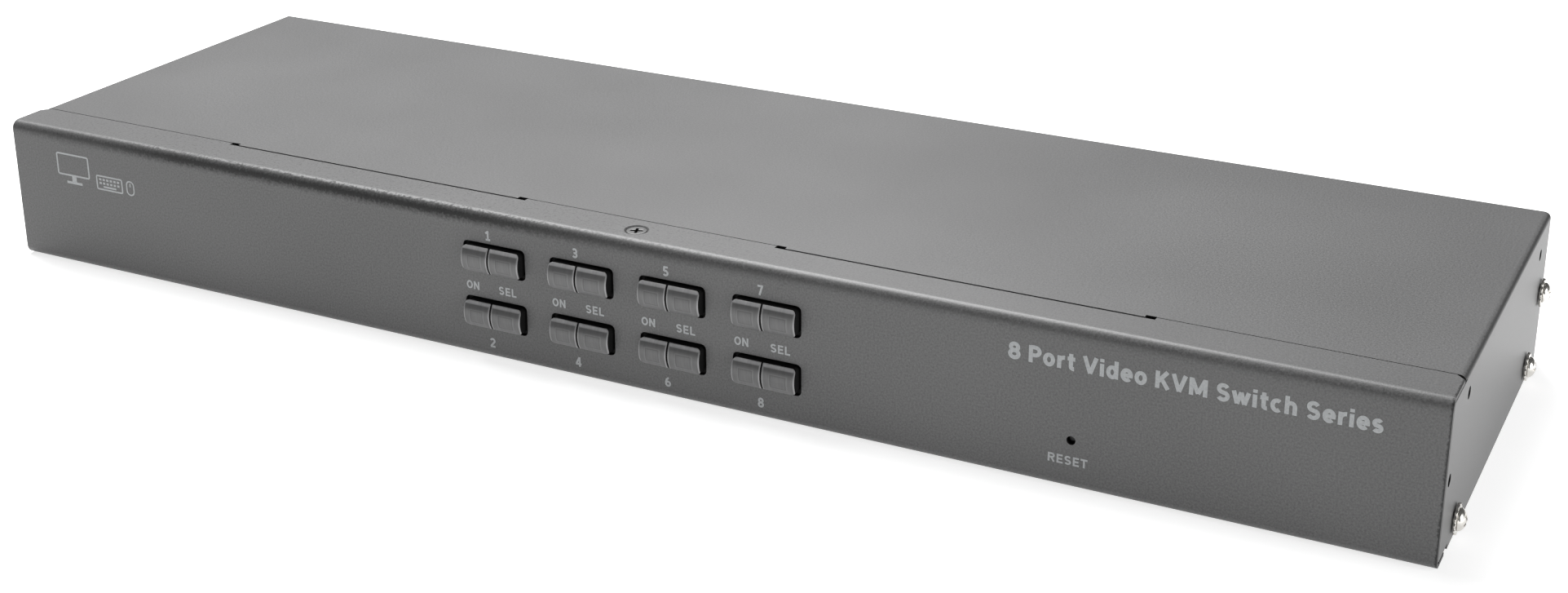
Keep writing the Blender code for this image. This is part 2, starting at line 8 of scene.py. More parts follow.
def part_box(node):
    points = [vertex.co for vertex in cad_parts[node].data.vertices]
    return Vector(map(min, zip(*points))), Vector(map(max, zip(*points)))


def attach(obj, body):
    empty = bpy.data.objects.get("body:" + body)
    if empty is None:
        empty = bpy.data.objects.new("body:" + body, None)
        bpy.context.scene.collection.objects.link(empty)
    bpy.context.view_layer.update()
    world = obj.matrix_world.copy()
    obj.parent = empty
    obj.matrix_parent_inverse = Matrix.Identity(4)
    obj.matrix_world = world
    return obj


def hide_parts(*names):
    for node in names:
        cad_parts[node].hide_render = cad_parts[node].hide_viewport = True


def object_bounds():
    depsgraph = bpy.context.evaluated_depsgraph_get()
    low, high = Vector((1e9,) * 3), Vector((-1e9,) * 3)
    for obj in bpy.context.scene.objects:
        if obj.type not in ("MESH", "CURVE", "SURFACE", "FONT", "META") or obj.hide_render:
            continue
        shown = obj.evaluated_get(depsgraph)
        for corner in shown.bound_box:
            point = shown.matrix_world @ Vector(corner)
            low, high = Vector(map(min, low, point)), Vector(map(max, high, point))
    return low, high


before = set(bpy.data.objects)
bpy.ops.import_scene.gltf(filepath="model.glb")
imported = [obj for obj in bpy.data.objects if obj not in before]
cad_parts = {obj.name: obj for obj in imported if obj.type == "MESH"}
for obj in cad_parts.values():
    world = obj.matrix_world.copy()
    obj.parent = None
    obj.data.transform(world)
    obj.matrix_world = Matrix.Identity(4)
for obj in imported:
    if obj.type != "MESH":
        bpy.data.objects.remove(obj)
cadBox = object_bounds()
mm = 0.001
print("frame loaded:", len(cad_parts), "nodes")


def newPiece(name, bm):
    mesh = bpy.data.meshes.new(name)
    bm.to_mesh(mesh)
    bm.free()
    piece = bpy.data.objects.new(name, mesh)
    bpy.context.scene.collection.objects.link(piece)
    return piece


def settle(piece):  # modifiers become plain mesh
    graph = bpy.context.evaluated_depsgraph_get()
    mesh = bpy.data.meshes.new_from_object(piece.evaluated_get(graph), depsgraph=graph)
    piece.modifiers.clear()
    piece.data = mesh
    return piece


def softenEdges(piece, width, segments=2, angle=34):
    bevel = piece.modifiers.new("soft edges", "BEVEL")
    bevel.width = width * mm
    bevel.segments = segments
    bevel.limit_method = "ANGLE"
    bevel.angle_limit = math.radians(angle)
    bevel.harden_normals = False
    settle(piece)
    piece.data.shade_smooth()
    piece.data.set_sharp_from_angle(angle=math.radians(48))
    weigh = piece.modifiers.new("flat faces stay flat", "WEIGHTED_NORMAL")
    weigh.keep_sharp = True
    weigh.weight = 80
    return settle(piece)


def paintPiece(piece, material):
    piece.data.materials.clear()
    piece.data.materials.append(material)
    return piece


def finishPiece(piece, body, slot, *nodes):
    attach(piece, body)
    if nodes:
        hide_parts(*nodes)
    return piece


def mergeInto(name, pieces):  # several plain pieces as one mesh, materials kept
    bm = bmesh.new()
    materials = []
    for piece in pieces:
        offset = []
        for material in piece.data.materials:
            if material not in materials:
                materials.append(material)
            offset.append(materials.index(material))
        first = len(bm.faces)
        bm.from_mesh(piece.data)
        bm.faces.ensure_lookup_table()
        for face in bm.faces[first:]:
            face.material_index = offset[face.material_index] if offset else 0
    merged = newPiece(name, bm)
    for material in materials:
        merged.data.materials.append(material)
    for piece in pieces:
        bpy.data.objects.remove(piece)
    return merged


def addBlock(bm, low, high):
    size = [(b - a) * mm for a, b in zip(low, high)]
    middle = Vector([(a + b) / 2 * mm for a, b in zip(low, high)])
    bmesh.ops.create_cube(bm, size=1, matrix=Matrix.Translation(middle) @ Matrix.Diagonal((*size, 1)))


def addPrism(bm, outline, near, far):  # outline of (x, z) in mm, filled and given depth along y
    front = [bm.verts.new((x * mm, near * mm, z * mm)) for x, z in outline]
    back = [bm.verts.new((x * mm, far * mm, z * mm)) for x, z in outline]
    faces = [bm.faces.new(front), bm.faces.new(back[::-1])]
    for i in range(len(outline)):
        j = (i + 1) % len(outline)
        faces.append(bm.faces.new((front[j], front[i], back[i], back[j])))
    bmesh.ops.recalc_face_normals(bm, faces=faces)


def addTube(bm, outer, inner, near, far):  # ring between two outlines with the same number of points
    rings = []
    for outline, y in ((outer, near), (inner, near), (inner, far), (outer, far)):
        rings.append([bm.verts.new((x * mm, y * mm, z * mm)) for x, z in outline])
    faces = []
    for a, b in zip(rings, rings[1:] + rings[:1]):
        for i in range(len(outer)):
            j = (i + 1) % len(outer)
            faces.append(bm.faces.new((a[i], a[j], b[j], b[i])))
    bmesh.ops.recalc_face_normals(bm, faces=faces)


def roundedBox(width, height, radius, steps=4, middle=(0, 0)):
    outline = []
    for sx, sz, start in ((1, -1, 270), (1, 1, 0), (-1, 1, 90), (-1, -1, 180)):
        cx, cz = sx * (width / 2 - radius), sz * (height / 2 - radius)
        for i in range(steps + 1):
            a = math.radians(start + 90 * i / steps)
            outline.append((middle[0] + cx + radius * math.cos(a), middle[1] + cz + radius * math.sin(a)))
    return outline


def nodeMiddle(name):
    low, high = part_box(name)
    return [(a + b) / 2 / mm for a, b in zip(low, high)]


studio = {
    "lens": 51.12,
    "place": (0.2910, -0.5387, 0.2650),
    "look": (-0.42811, 0.83763, -0.33925),
    "right": (0.89083, 0.45434, -0.00238),
    "shift": -0.085,
    "lights": {  # place, what it points at, its two sides in m, power in W
        "overhead": ((-0.55, 0.48, 1.2), (-0.05, 0.05, 0), (1.2, 0.9), 49),
        "rightSide": ((1.5, -0.2, 0.45), (0.2, 0, 0), (0.9, 0.8), 13),
        "frontFill": ((0.1, -1.5, 0.1), (0, 0, 0), (1.8, 0.3), 3.0),
    },
    "roomLight": 0.12,
    "floorGlow": 0.71,
    "floorGrey": (0.60, 0.63),
    "floorHalf": 6,
}

look = Vector(studio["look"]).normalized()
right = Vector(studio["right"])
right = (right - look * right.dot(look)).normalized()
up = right.cross(look)
turn = Matrix((right, up, -look)).transposed()
camera = bpy.data.objects.new("camera", bpy.data.cameras.new("camera"))
camera.data.sensor_width = 36
camera.data.lens = studio["lens"]
camera.data.shift_y = studio["shift"]
camera.data.clip_start = 0.01
camera.matrix_world = Matrix.Translation(studio["place"]) @ turn.to_4x4()
bpy.context.scene.collection.objects.link(camera)
bpy.context.scene.camera = camera
bpy.context.scene.view_settings.view_transform = "Standard"


def softLight(name, place, target, size, power):
    light = bpy.data.lights.new(name, "AREA")
    light.shape = "RECTANGLE"
    light.size, light.size_y = size
    light.energy = power
    lamp = bpy.data.objects.new(name, light)
    lamp.location = place
    lamp.rotation_euler = (Vector(target) - Vector(place)).to_track_quat("-Z", "Y").to_euler()
    bpy.context.scene.collection.objects.link(lamp)
    return lamp


for name, values in studio["lights"].items():
    softLight(name, *values)

world = bpy.data.worlds.new("studio")
bpy.context.scene.world = world
world.use_nodes = True
worldTree = world.node_tree
worldTree.nodes.clear()
surround = worldTree.nodes.new("ShaderNodeBackground")
surround.label = "dim room light"
surround.location = (-200, 100)
surround.inputs["Color"].default_value = (1, 1, 1, 1)
surround.inputs["Strength"].default_value = studio["roomLight"]
backdrop = worldTree.nodes.new("ShaderNodeBackground")
backdrop.label = "white backdrop"
backdrop.location = (-200, -60)
backdrop.inputs["Color"].default_value = (1, 1, 1, 1)
backdrop.inputs["Strength"].default_value = 1.0
seen = worldTree.nodes.new("ShaderNodeLightPath")
seen.label = "backdrop only where it is seen directly"
seen.location = (-420, 300)
pick = worldTree.nodes.new("ShaderNodeMixShader")
pick.label = "room light or backdrop"
pick.location = (40, 100)
worldOut = worldTree.nodes.new("ShaderNodeOutputWorld")
worldOut.label = "to the studio"
worldOut.location = (240, 100)
around = worldTree.nodes.new("NodeFrame")
around.label = "light and backdrop of the studio"
for node in (surround, backdrop, seen, pick):
    node.parent = around
worldTree.links.new(seen.outputs["Is Camera Ray"], pick.inputs["Fac"])
worldTree.links.new(surround.outputs["Background"], pick.inputs[1])
worldTree.links.new(backdrop.outputs["Background"], pick.inputs[2])
worldTree.links.new(pick.outputs["Shader"], worldOut.inputs["Surface"])


def floorMaterial():
    material = bpy.data.materials.new("paleFloor")
    material.use_nodes = True
    tree = material.node_tree
    shader = tree.nodes["Principled BSDF"]
    shader.inputs["Roughness"].default_value = 0.8
    shader.inputs["Emission Color"].default_value = (1, 1, 1, 1)
    shader.inputs["Emission Strength"].default_value = studio["floorGlow"]
    place = tree.nodes.new("ShaderNodeTexCoord")
    place.label = "place on the floor"
    grain = tree.nodes.new("ShaderNodeTexNoise")
    grain.label = "faint paper grain"
    grain.inputs["Scale"].default_value = 60
    shade = tree.nodes.new("ShaderNodeMix")
    shade.label = "two pale greys"
    shade.data_type = "RGBA"
    for side, grey in zip((6, 7), studio["floorGrey"]):
        shade.inputs[side].default_value = (grey, grey, grey, 1)
    paper = tree.nodes.new("NodeFrame")
    paper.label = "paper of the backdrop"
    grain.parent = shade.parent = paper
    tree.links.new(place.outputs["Object"], grain.inputs["Vector"])
    tree.links.new(grain.outputs["Fac"], shade.inputs["Factor"])
    tree.links.new(shade.outputs[2], shader.inputs["Base Color"])
    for node, spot in (
        (shader, (200, 0)), (place, (-700, 0)), (grain, (-500, 0)), (shade, (-200, 0)),
    ):
        node.location = spot
    return material


bm = bmesh.new()
bmesh.ops.create_grid(bm, x_segments=1, y_segments=1, size=studio["floorHalf"])
floor = newPiece("floor", bm)
floor.data.transform(Matrix.Translation((0, 0, cadBox[0].z - 0.0002)))
paintPiece(floor, floorMaterial())
print("studio ready")


# Fine textured powder coat. band is painted shade and highlight over the last 5 mm below the top face, a
# dark band and a light line along the upper bends, as (height in mm, left tone, right tone). fade is where
# along the case one turns into the other, as (x in mm, share of the right tone). shake is how far the
# band's border wanders in mm, and endTone darkens the right end of the front.
def coatMaterial(name, colour, grainSize, rough, band, fade, shake, endTone=1.0):
    material = bpy.data.materials.new(name)
    material.use_nodes = True
    tree = material.node_tree
    nodes, links = tree.nodes, tree.links
    shader = nodes["Principled BSDF"]
    shader.inputs["Specular IOR Level"].default_value = 0.35

    place = nodes.new("ShaderNodeTexCoord")
    place.label = "place on the case"
    axes = nodes.new("ShaderNodeSeparateXYZ")
    axes.label = "across, back and up"
    links.new(place.outputs["Object"], axes.inputs["Vector"])

    tone = nodes.new("NodeFrame")
    tone.label = "tone"
    speckle = nodes.new("ShaderNodeTexNoise")
    speckle.label = "speckle of the powder"
    speckle.inputs["Scale"].default_value = 1000 / grainSize
    speckle.inputs["Detail"].default_value = 3
    speckle.inputs["Roughness"].default_value = 0.7
    cloud = nodes.new("ShaderNodeTexNoise")
    cloud.label = "slow change of thickness"
    cloud.inputs["Scale"].default_value = 14
    cloud.inputs["Detail"].default_value = 2
    both = nodes.new("ShaderNodeMix")
    both.label = "speckle over cloud"
    both.inputs["Factor"].default_value = 0.2
    ramp = nodes.new("ShaderNodeValToRGB")
    ramp.label = "dark to light grains"
    ramp.color_ramp.elements[0].position = 0.3
    ramp.color_ramp.elements[0].color = (*[c * 0.62 for c in colour], 1)
    ramp.color_ramp.elements[1].position = 0.7
    ramp.color_ramp.elements[1].color = (*[c * 1.38 for c in colour], 1)
    for node in (speckle, cloud, both, ramp):
        node.parent = tone
    links.new(place.outputs["Object"], speckle.inputs["Vector"])
    links.new(place.outputs["Object"], cloud.inputs["Vector"])
    links.new(speckle.outputs["Fac"], both.inputs["A"])
    links.new(cloud.outputs["Fac"], both.inputs["B"])
    links.new(both.outputs["Result"], ramp.inputs["Fac"])

    # Painted shade and highlight on the upper bends: a darker band with a light line along the bend, in
    # place of the light falling there.
    bends = nodes.new("NodeFrame")
    bends.label = "painted shade and highlight on the upper bends"
    ragged = nodes.new("ShaderNodeTexNoise")
    ragged.label = "ragged border"
    ragged.inputs["Scale"].default_value = 1400
    ragged.inputs["Detail"].default_value = 2
    shaken = nodes.new("ShaderNodeMath")
    shaken.label = "height shaken by the border"
    shaken.operation = "MULTIPLY_ADD"
    shaken.inputs[1].default_value = shake * mm
    height = nodes.new("ShaderNodeMapRange")
    height.label = "last 5 mm below the top"
    height.inputs["From Min"].default_value = 0.039 + shake / 2 * mm
    height.inputs["From Max"].default_value = 0.044 + shake / 2 * mm
    leftTone = nodes.new("ShaderNodeValToRGB")
    leftTone.label = "painted bend shading, left end"
    rightTone = nodes.new("ShaderNodeValToRGB")
    rightTone.label = "painted bend shading, right end"
    for node, column in ((leftTone, 1), (rightTone, 2)):
        while len(node.color_ramp.elements) < len(band):
            node.color_ramp.elements.new(0.5)
        for element, stop in zip(node.color_ramp.elements, band):
            element.position = (stop[0] - 39) / 5
            element.color = (stop[column], stop[column], stop[column], 1)
    along = nodes.new("ShaderNodeMapRange")
    along.label = "0 at the left end, 1 at the right"
    along.inputs["From Min"].default_value = fade[0][0] * mm
    along.inputs["From Max"].default_value = fade[-1][0] * mm
    across = nodes.new("ShaderNodeValToRGB")
    across.label = "share of the right tone"
    across.color_ramp.interpolation = "EASE"
    while len(across.color_ramp.elements) < len(fade):
        across.color_ramp.elements.new(0.5)
    for element, (x, share) in zip(across.color_ramp.elements, fade):
        element.position = (x - fade[0][0]) / (fade[-1][0] - fade[0][0])
        element.color = (share, share, share, 1)
    bend = nodes.new("ShaderNodeMix")
    bend.label = "painted bend shading here"
    bend.data_type = "RGBA"
    for node in (ragged, shaken, height, leftTone, rightTone, along, across, bend):
        node.parent = bends
    links.new(place.outputs["Object"], ragged.inputs["Vector"])
    links.new(ragged.outputs["Fac"], shaken.inputs[0])
    links.new(axes.outputs["Z"], shaken.inputs[2])
    links.new(shaken.outputs["Value"], height.inputs["Value"])
    links.new(height.outputs["Result"], leftTone.inputs["Fac"])
    links.new(height.outputs["Result"], rightTone.inputs["Fac"])
    links.new(axes.outputs["X"], along.inputs["Value"])
    links.new(along.outputs["Result"], across.inputs["Fac"])
    links.new(across.outputs["Color"], bend.inputs["Factor"])
    links.new(leftTone.outputs["Color"], bend.inputs[6])
    links.new(rightTone.outputs["Color"], bend.inputs[7])

    # Painted shade on the narrow cut faces, which lie in the seams and gaps between the sheets.
    edges = nodes.new("NodeFrame")
    edges.label = "painted shade on the cut edges"
    edgeShadeMark = nodes.new("ShaderNodeAttribute")
    edgeShadeMark.label = "1 on the cut edges"
    edgeShadeMark.attribute_name = "cutEdgeShade"
    edgeShade = nodes.new("ShaderNodeMapRange")
    edgeShade.label = "painted shade there"
    edgeShade.inputs["To Min"].default_value = 1.0
    edgeShade.inputs["To Max"].default_value = 0.14
    endShaken = nodes.new("ShaderNodeMath")
    endShaken.label = "place across, shaken by the border"
    endShaken.operation = "MULTIPLY_ADD"
    endShaken.inputs[1].default_value = 1.2 * mm
    # darker along the right end of the front, with a ragged border
    rightEnd = nodes.new("ShaderNodeMapRange")
    rightEnd.label = "darker along the right end"
    rightEnd.inputs["From Min"].default_value = 218.9 * mm
    rightEnd.inputs["From Max"].default_value = 219.3 * mm
    rightEnd.inputs["To Min"].default_value = 1.0
    rightEnd.inputs["To Max"].default_value = endTone
    bothEdges = nodes.new("ShaderNodeMath")
    bothEdges.label = "cut edges and right end"
    bothEdges.operation = "MULTIPLY"
    for node in (edgeShadeMark, edgeShade, endShaken, rightEnd, bothEdges):
        node.parent = edges
    links.new(edgeShadeMark.outputs["Fac"], edgeShade.inputs["Value"])
    links.new(ragged.outputs["Fac"], endShaken.inputs[0])
    links.new(axes.outputs["X"], endShaken.inputs[2])
    links.new(endShaken.outputs["Value"], rightEnd.inputs["Value"])
    links.new(edgeShade.outputs["Result"], bothEdges.inputs[0])
    links.new(rightEnd.outputs["Result"], bothEdges.inputs[1])

    overBend = nodes.new("ShaderNodeVectorMath")
    overBend.label = "bend over grains"
    overBend.operation = "MULTIPLY"
    overEdge = nodes.new("ShaderNodeVectorMath")
    overEdge.label = "edge over bend"
    overEdge.operation = "SCALE"
    links.new(ramp.outputs["Color"], overBend.inputs[0])
    links.new(bend.outputs[2], overBend.inputs[1])
    links.new(overBend.outputs["Vector"], overEdge.inputs["Vector"])
    links.new(bothEdges.outputs["Value"], overEdge.inputs["Scale"])
    links.new(overEdge.outputs["Vector"], shader.inputs["Base Color"])

    sheen = nodes.new("NodeFrame")
    sheen.label = "sheen"
    dull = nodes.new("ShaderNodeMapRange")
    dull.label = "duller where the coat is thick"
    dull.inputs["From Min"].default_value = 0.3
    dull.inputs["From Max"].default_value = 0.7
    dull.inputs["To Min"].default_value = rough - 0.04
    dull.inputs["To Max"].default_value = rough + 0.05
    # rougher where the bend is painted dark, which dulls the highlight there
    bare = nodes.new("ShaderNodeMapRange")
    bare.label = "dullest over the dark bend"
    bare.inputs["From Min"].default_value = 0.1
    bare.inputs["From Max"].default_value = 0.9
    bare.inputs["To Min"].default_value = 0.5
    bare.inputs["To Max"].default_value = 0.0
    roughSum = nodes.new("ShaderNodeMath")
    roughSum.label = "roughness"
    roughSum.operation = "ADD"
    for node in (dull, bare, roughSum):
        node.parent = sheen
    links.new(both.outputs["Result"], dull.inputs["Value"])
    links.new(bend.outputs[2], bare.inputs["Value"])
    links.new(dull.outputs["Result"], roughSum.inputs[0])
    links.new(bare.outputs["Result"], roughSum.inputs[1])
    links.new(roughSum.outputs["Value"], shader.inputs["Roughness"])

    relief = nodes.new("NodeFrame")
    relief.label = "relief"
    pebble = nodes.new("ShaderNodeTexNoise")
    pebble.label = "pebbled skin"
    pebble.inputs["Scale"].default_value = 1300 / grainSize
    pebble.inputs["Detail"].default_value = 2
    bump = nodes.new("ShaderNodeBump")
    bump.label = "raised a few hundredths"
    bump.inputs["Strength"].default_value = 0.5
    bump.inputs["Distance"].default_value = 0.00008
    for node in (pebble, bump):
        node.parent = relief
    links.new(place.outputs["Object"], pebble.inputs["Vector"])
    links.new(pebble.outputs["Fac"], bump.inputs["Height"])
    links.new(bump.outputs["Normal"], shader.inputs["Normal"])
    for node, spot in (
        (shader, (1100, 0)), (nodes["Material Output"], (1400, 0)), (place, (-1200, 0)),
        (axes, (-1000, -100)), (speckle, (-750, 400)), (cloud, (-750, 180)), (both, (-500, 300)),
        (ramp, (-250, 300)), (ragged, (-750, -150)), (shaken, (-500, -150)), (height, (-300, -150)),
        (leftTone, (-80, -60)), (rightTone, (-80, -300)), (along, (-330, -540)), (across, (-80, -540)),
        (bend, (250, -150)), (edgeShadeMark, (250, -450)), (edgeShade, (450, -450)), (endShaken, (250, -650)),
        (rightEnd, (450, -650)), (bothEdges, (650, -500)), (overBend, (550, 200)), (overEdge, (780, 100)),
        (dull, (450, -700)), (bare, (450, -950)), (roughSum, (700, -750)), (pebble, (-750, -900)),
        (bump, (-250, -900)),
    ):
        node.location = spot
    return material


def metalMaterial(name, colour, rough, streak):  # plated or bare metal with fine rubbed lines
    material = bpy.data.materials.new(name)
    material.use_nodes = True
    tree = material.node_tree
    nodes, links = tree.nodes, tree.links
    shader = nodes["Principled BSDF"]
    shader.inputs["Metallic"].default_value = 1
    place = nodes.new("ShaderNodeTexCoord")
    place.label = "place on the piece"
    stretch = nodes.new("ShaderNodeMapping")
    stretch.label = "draws the lines out"
    stretch.inputs["Scale"].default_value = streak
    lines = nodes.new("ShaderNodeTexNoise")
    lines.label = "rubbed lines"
    lines.inputs["Scale"].default_value = 1500
    lines.inputs["Detail"].default_value = 3
    stain = nodes.new("ShaderNodeTexNoise")
    stain.label = "faint handling stain"
    stain.inputs["Scale"].default_value = 350
    ramp = nodes.new("ShaderNodeValToRGB")
    ramp.label = "bright to dull plate"
    ramp.color_ramp.elements[0].color = (*[c * 0.7 for c in colour], 1)
    ramp.color_ramp.elements[1].color = (*colour, 1)
    dull = nodes.new("ShaderNodeMapRange")
    dull.label = "roughness along the lines"
    dull.inputs["To Min"].default_value = rough * 0.7
    dull.inputs["To Max"].default_value = rough * 1.4
    bump = nodes.new("ShaderNodeBump")
    bump.label = "scratch depth"
    bump.inputs["Strength"].default_value = 0.15
    bump.inputs["Distance"].default_value = 0.00002
    plate = nodes.new("NodeFrame")
    plate.label = "tone of the plate"
    rubbed = nodes.new("NodeFrame")
    rubbed.label = "fine rubbed lines"
    stain.parent = ramp.parent = plate
    stretch.parent = lines.parent = dull.parent = bump.parent = rubbed
    links.new(place.outputs["Object"], stretch.inputs["Vector"])
    links.new(stretch.outputs["Vector"], lines.inputs["Vector"])
    links.new(place.outputs["Object"], stain.inputs["Vector"])
    links.new(stain.outputs["Fac"], ramp.inputs["Fac"])
    links.new(ramp.outputs["Color"], shader.inputs["Base Color"])
    links.new(lines.outputs["Fac"], dull.inputs["Value"])
    links.new(dull.outputs["Result"], shader.inputs["Roughness"])
    links.new(lines.outputs["Fac"], bump.inputs["Height"])
    links.new(bump.outputs["Normal"], shader.inputs["Normal"])
    for node, spot in (
        (shader, (500, 0)), (place, (-1000, 0)), (stretch, (-800, 0)), (lines, (-600, 0)),
        (stain, (-600, 250)), (ramp, (-300, 250)), (dull, (-300, -50)), (bump, (-300, -300)),
    ):
        node.location = spot
    return material


def plasticMaterial(name, colour, rough, grain, gloss=0.5):  # moulded plastic or ink
    material = bpy.data.materials.new(name)
    material.use_nodes = True
    tree = material.node_tree
    nodes, links = tree.nodes, tree.links
    shader = nodes["Principled BSDF"]
    shader.inputs["Specular IOR Level"].default_value = gloss
    place = nodes.new("ShaderNodeTexCoord")
    place.label = "place on the piece"
    mottle = nodes.new("ShaderNodeTexNoise")
    mottle.label = "mould mottling"
    mottle.inputs["Scale"].default_value = grain
    mottle.inputs["Detail"].default_value = 4
    ramp = nodes.new("ShaderNodeValToRGB")
    ramp.label = "tone"
    ramp.color_ramp.elements[0].position = 0.3
    ramp.color_ramp.elements[0].color = (*[c * 0.88 for c in colour], 1)
    ramp.color_ramp.elements[1].position = 0.7
    ramp.color_ramp.elements[1].color = (*[min(c * 1.1, 1) for c in colour], 1)
    dull = nodes.new("ShaderNodeMapRange")
    dull.label = "sheen"
    dull.inputs["To Min"].default_value = rough * 0.85
    dull.inputs["To Max"].default_value = rough * 1.15
    bump = nodes.new("ShaderNodeBump")
    bump.label = "fine skin"
    bump.inputs["Strength"].default_value = 0.15
    bump.inputs["Distance"].default_value = 0.00003
    colouring = nodes.new("NodeFrame")
    colouring.label = "mottled colour"
    skin = nodes.new("NodeFrame")
    skin.label = "moulded skin"
    mottle.parent = ramp.parent = colouring
    dull.parent = bump.parent = skin
    links.new(place.outputs["Object"], mottle.inputs["Vector"])
    links.new(mottle.outputs["Fac"], ramp.inputs["Fac"])
    links.new(ramp.outputs["Color"], shader.inputs["Base Color"])
    links.new(mottle.outputs["Fac"], dull.inputs["Value"])
    links.new(dull.outputs["Result"], shader.inputs["Roughness"])
    links.new(mottle.outputs["Fac"], bump.inputs["Height"])
    links.new(bump.outputs["Normal"], shader.inputs["Normal"])
    for node, spot in (
        (shader, (400, 0)), (place, (-900, 0)), (mottle, (-700, 100)), (ramp, (-400, 200)),
        (dull, (-400, -80)), (bump, (-100, -250)),
    ):
        node.location = spot
    return material


def lensMaterial():  # smoked lens: its own UV map runs 0 to 1 over each half
    material = bpy.data.materials.new("smokedLens")
    material.use_nodes = True
    tree = material.node_tree
    nodes, links = tree.nodes, tree.links
    shader = nodes["Principled BSDF"]
    shader.inputs["Roughness"].default_value = 0.38
    shader.inputs["Specular IOR Level"].default_value = 0.4
    shader.inputs["Coat Weight"].default_value = 0.25
    shader.inputs["Coat Roughness"].default_value = 0.12
    place = nodes.new("ShaderNodeUVMap")
    place.label = "place on the lens"
    parts = nodes.new("ShaderNodeSeparateXYZ")
    parts.label = "across and upward"
    links.new(place.outputs["UV"], parts.inputs["Vector"])

    body = nodes.new("NodeFrame")
    body.label = "depth of the smoke"
    ramp = nodes.new("ShaderNodeValToRGB")
    ramp.label = "painted shade under the top edge"
    # painted shade in a band under the top edge of each half, darkest about three quarters up
    stops = (
        (0.0, 0.086), (0.1, 0.08), (0.5, 0.084), (0.62, 0.074), (0.74, 0.058), (0.88, 0.068), (1.0, 0.085),
    )
    while len(ramp.color_ramp.elements) < len(stops):
        ramp.color_ramp.elements.new(0.5)
    for element, (at, grey) in zip(ramp.color_ramp.elements, stops):
        element.position = at
        element.color = (grey, grey, grey * 1.01, 1)
    links.new(parts.outputs["Y"], ramp.inputs["Fac"])
    combed = nodes.new("ShaderNodeMapping")
    combed.label = "combs the streaks upright"
    combed.inputs["Scale"].default_value = (7, 1.2, 1)
    streaks = nodes.new("ShaderNodeTexNoise")
    streaks.label = "upright streaks of the diffuser"
    streaks.inputs["Scale"].default_value = 1.0
    streaks.inputs["Detail"].default_value = 3
    links.new(place.outputs["UV"], combed.inputs["Vector"])
    links.new(combed.outputs["Vector"], streaks.inputs["Vector"])
    streakTone = nodes.new("ShaderNodeMapRange")
    streakTone.label = "streak strength"
    streakTone.inputs["From Min"].default_value = 0.3
    streakTone.inputs["From Max"].default_value = 0.7
    streakTone.inputs["To Min"].default_value = 0.84
    streakTone.inputs["To Max"].default_value = 1.16
    links.new(streaks.outputs["Fac"], streakTone.inputs["Value"])
    for node in (ramp, combed, streaks, streakTone):
        node.parent = body

    window = nodes.new("NodeFrame")
    window.label = "window behind the lens, painted edge highlight"
    across = nodes.new("ShaderNodeMath")
    across.label = "distance from its middle, across"
    across.operation = "SUBTRACT"
    across.inputs[1].default_value = 0.5
    upward = nodes.new("ShaderNodeMath")
    upward.label = "distance from its middle, upward"
    upward.operation = "SUBTRACT"
    upward.inputs[1].default_value = 0.42
    acrossSize = nodes.new("ShaderNodeMath")
    acrossSize.label = "either way across"
    acrossSize.operation = "ABSOLUTE"
    upwardSize = nodes.new("ShaderNodeMath")
    upwardSize.label = "either way upward"
    upwardSize.operation = "ABSOLUTE"
    larger = nodes.new("ShaderNodeMath")
    larger.label = "square distance"
    larger.operation = "MAXIMUM"
    rim = nodes.new("ShaderNodeValToRGB")
    rim.label = "window rim and painted edge highlight"
    # the window's own rim is a dark line then a light one near 0.25; from 0.45 out to the lens edge the
    # colour is raised up to 3.2 times, a painted highlight along the edge
    marks = (
        (0.0, 1.0), (0.2, 1.0), (0.235, 0.66), (0.265, 1.3),
        (0.3, 1.0), (0.45, 1.0), (0.475, 2.6), (0.5, 3.2),
    )
    while len(rim.color_ramp.elements) < len(marks):
        rim.color_ramp.elements.new(0.5)
    for element, (at, grey) in zip(rim.color_ramp.elements, marks):
        element.position = at
        element.color = (grey, grey, grey, 1)
    for node in (across, upward, acrossSize, upwardSize, larger, rim):
        node.parent = window
    links.new(parts.outputs["X"], across.inputs[0])
    links.new(parts.outputs["Y"], upward.inputs[0])
    links.new(across.outputs["Value"], acrossSize.inputs[0])
    links.new(upward.outputs["Value"], upwardSize.inputs[0])
    links.new(acrossSize.outputs["Value"], larger.inputs[0])
    links.new(upwardSize.outputs["Value"], larger.inputs[1])
    links.new(larger.outputs["Value"], rim.inputs["Fac"])

    streaked = nodes.new("ShaderNodeVectorMath")
    streaked.label = "streaks on the smoke"
    streaked.operation = "SCALE"
    links.new(ramp.outputs["Color"], streaked.inputs["Vector"])
    links.new(streakTone.outputs["Result"], streaked.inputs["Scale"])
    windowed = nodes.new("ShaderNodeVectorMath")
    windowed.label = "window on top"
    windowed.operation = "MULTIPLY"
    links.new(streaked.outputs["Vector"], windowed.inputs[0])
    links.new(rim.outputs["Color"], windowed.inputs[1])
    links.new(windowed.outputs["Vector"], shader.inputs["Base Color"])
    for node, spot in (
        (shader, (900, 0)), (place, (-1100, 0)), (parts, (-900, 0)), (ramp, (-300, 350)),
        (combed, (-700, 120)), (streaks, (-500, 120)), (streakTone, (-300, 120)), (across, (-700, -150)),
        (upward, (-700, -320)), (acrossSize, (-520, -150)), (upwardSize, (-520, -320)),
        (larger, (-340, -230)), (rim, (-160, -230)), (streaked, (200, 250)), (windowed, (450, 100)),
    ):
        node.location = spot
    return material


